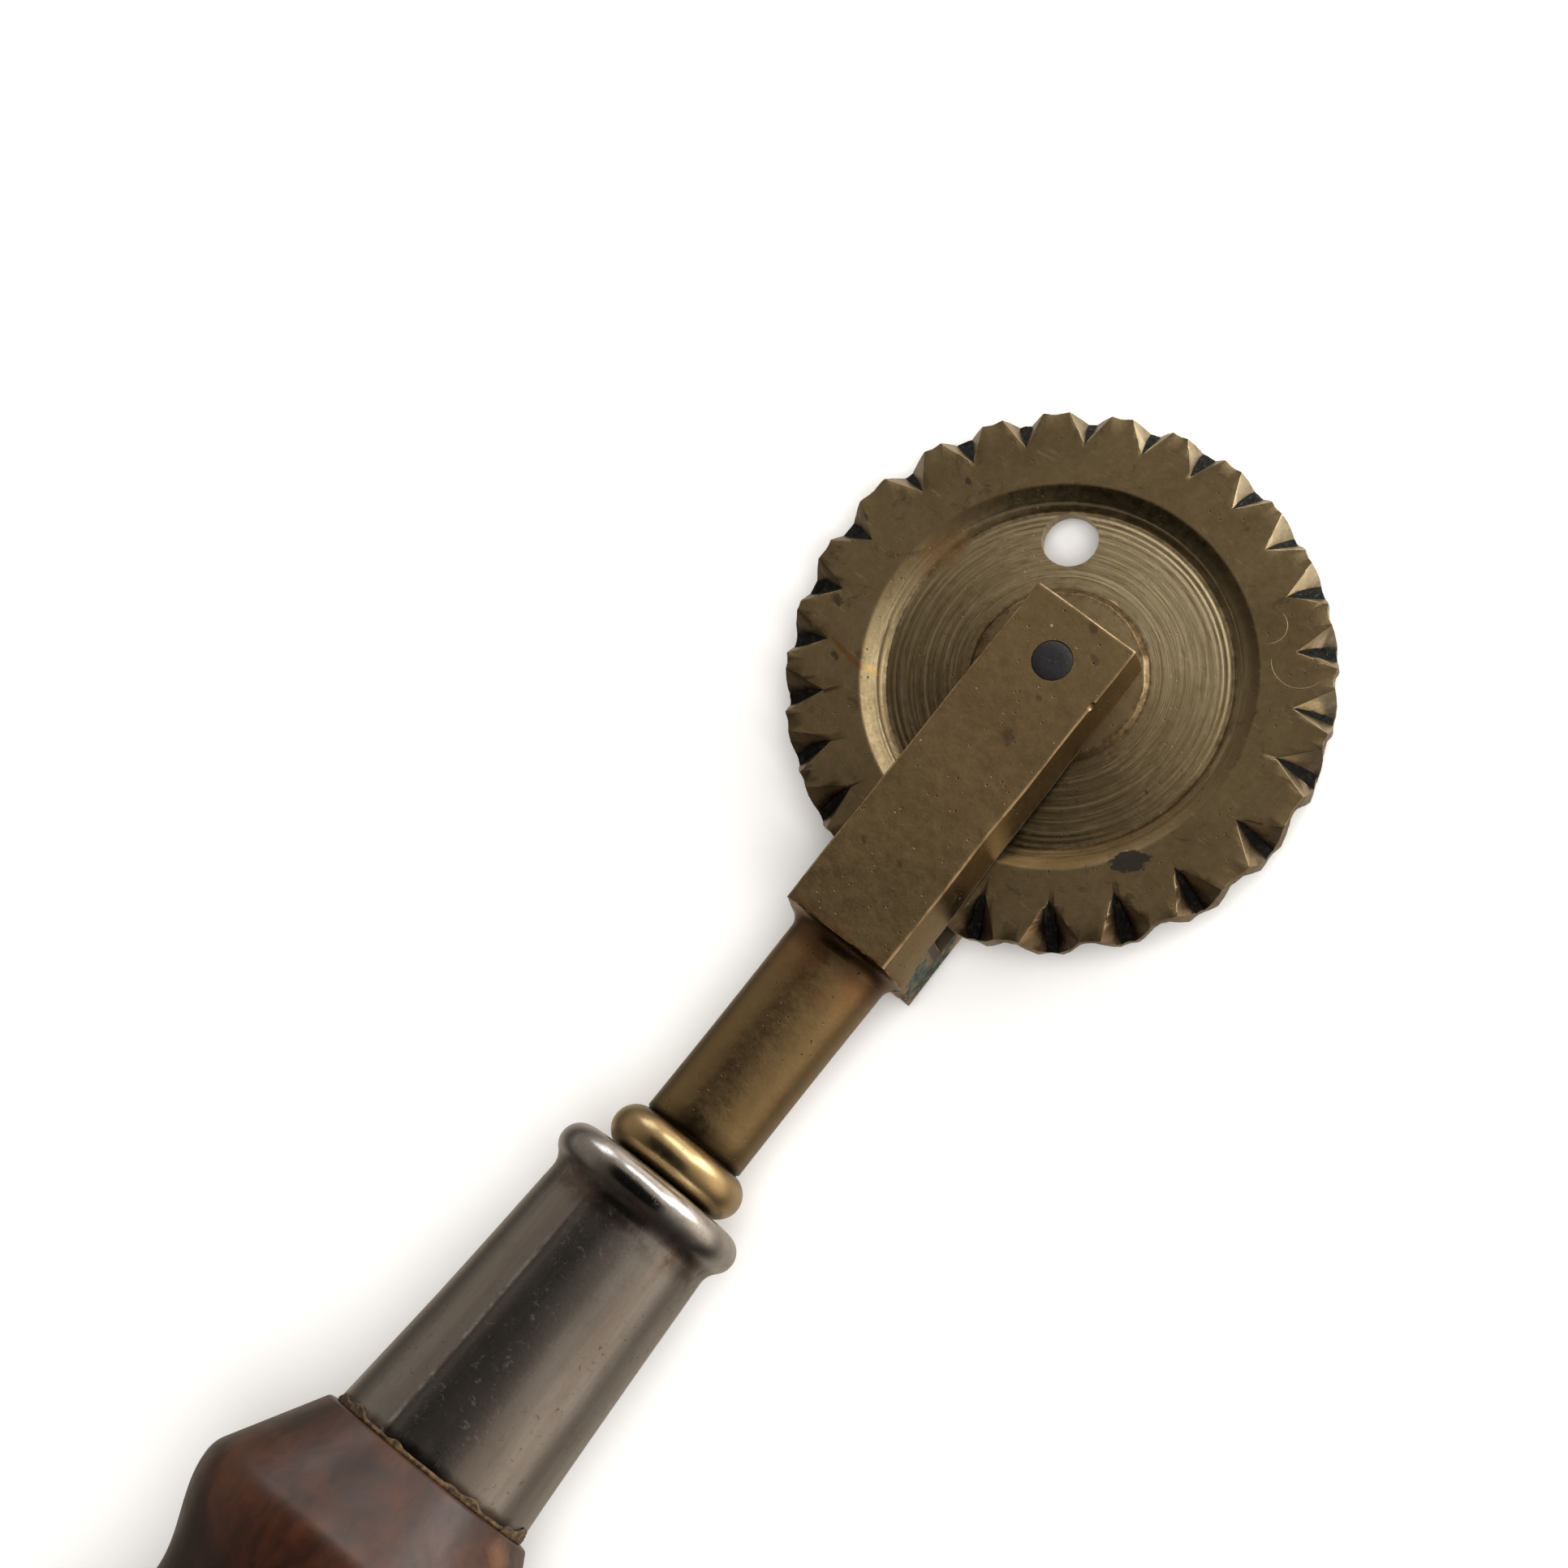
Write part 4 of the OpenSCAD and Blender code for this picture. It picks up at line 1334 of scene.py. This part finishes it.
def room():
    """World light: dim behind the tool, brighter ahead of it, with paler walls low at both sides."""
    world = bpy.data.worlds.new("room")
    world.use_nodes = True
    graph = Graph(world.node_tree, "Generated", 1)
    _, y, z = graph.split(graph.place)
    ahead = graph.dot(graph.place, tuple(Vector((0.9, -0.3, 0.3)).normalized()))
    ahead = graph.math("MAXIMUM", graph.math("DIVIDE", graph.plus(ahead, 0.4), 1.3), 0.0)
    ahead = graph.times(graph.math("POWER", ahead, 2.0), 0.9)
    sides = graph.math("POWER", graph.size(y), 3.0)
    sides = graph.times(sides, graph.step(y, -0.3, 0.3, 0.17, 0.36))
    sides = graph.times(sides, graph.step(z, -0.45, -0.05, 0.2, 1.0))
    near = graph.dot(graph.place, tuple(Vector((0.9, -0.45, 0)).normalized()))
    band = graph.times(graph.step(near, 0.1, 0.7), graph.step(graph.size(z), 0.55, 0.1))
    band = graph.times(band, 0.65)
    below = graph.step(z, -0.45, -0.85, 0.0, 0.45)
    total = graph.plus(graph.plus(ahead, sides), graph.plus(below, 0.05))
    total = graph.plus(total, band)
    background = world.node_tree.nodes["Background"]
    background.inputs["Color"].default_value = (1.0, 0.87, 0.70, 1)
    world.node_tree.links.new(total, background.inputs["Strength"])
    bpy.context.scene.world = world


def dark_flag():
    """A black card above the neck and the ferrule, seen only in their reflections."""
    height = 150
    corners = ((-140, -110), (AX - 32, -110), (AX - 26, -15), (AX - 10, -15), (AX - 10, 120), (-140, 120))
    bm = bmesh.new()
    bm.faces.new([bm.verts.new(Vector((x, y, height)) * MM) for x, y in corners])
    graph = Surface("flag_black", Specular_IOR_Level=0.0)
    tone = graph.mix(graph.noise(0.1, 2), (0.003, 0.003, 0.003), (0.005, 0.005, 0.005))
    black = graph.finish(tone, graph.step(tone, 0, 1, 0.9, 1.0), graph.bump(tone, 0.01, 0.1))
    flag = linked("dark_flag", bm, [black])
    flag.visible_camera = False
    flag.visible_diffuse = False
    flag.visible_shadow = False


def studio():
    """Three mirrored lamps ahead and to the sides, and a matt fill from the camera's side."""
    bpy.context.scene.view_settings.view_transform = "Standard"
    room()
    dark_flag()
    softbox("key", (0.72, -0.12, 0.68), 0.8, 0.95, 0.22, 3.9, (0.94, 0.98, 1.0))
    softbox("window", (0.74, -0.62, 0.28), 0.9, 0.42, 0.42, 4.5, (0.97, 0.99, 1.0))
    softbox("side_window", (0.58, 0.74, 0.28), 0.9, 0.36, 0.36, 2.4, (0.92, 0.97, 1.0))
    softbox("fill", VIEW_FROM, 1.2, 0.8, 0.8, 6.4, (1.0, 1.0, 1.0), mirrored=False)


wheel()
fork()
axle_pin()
collar_ring()
ferrule()
resin_bedding()
handle()
floor()
studio()
camera()
for stand_in in slot_stand_ins:
    bpy.data.materials.remove(stand_in)
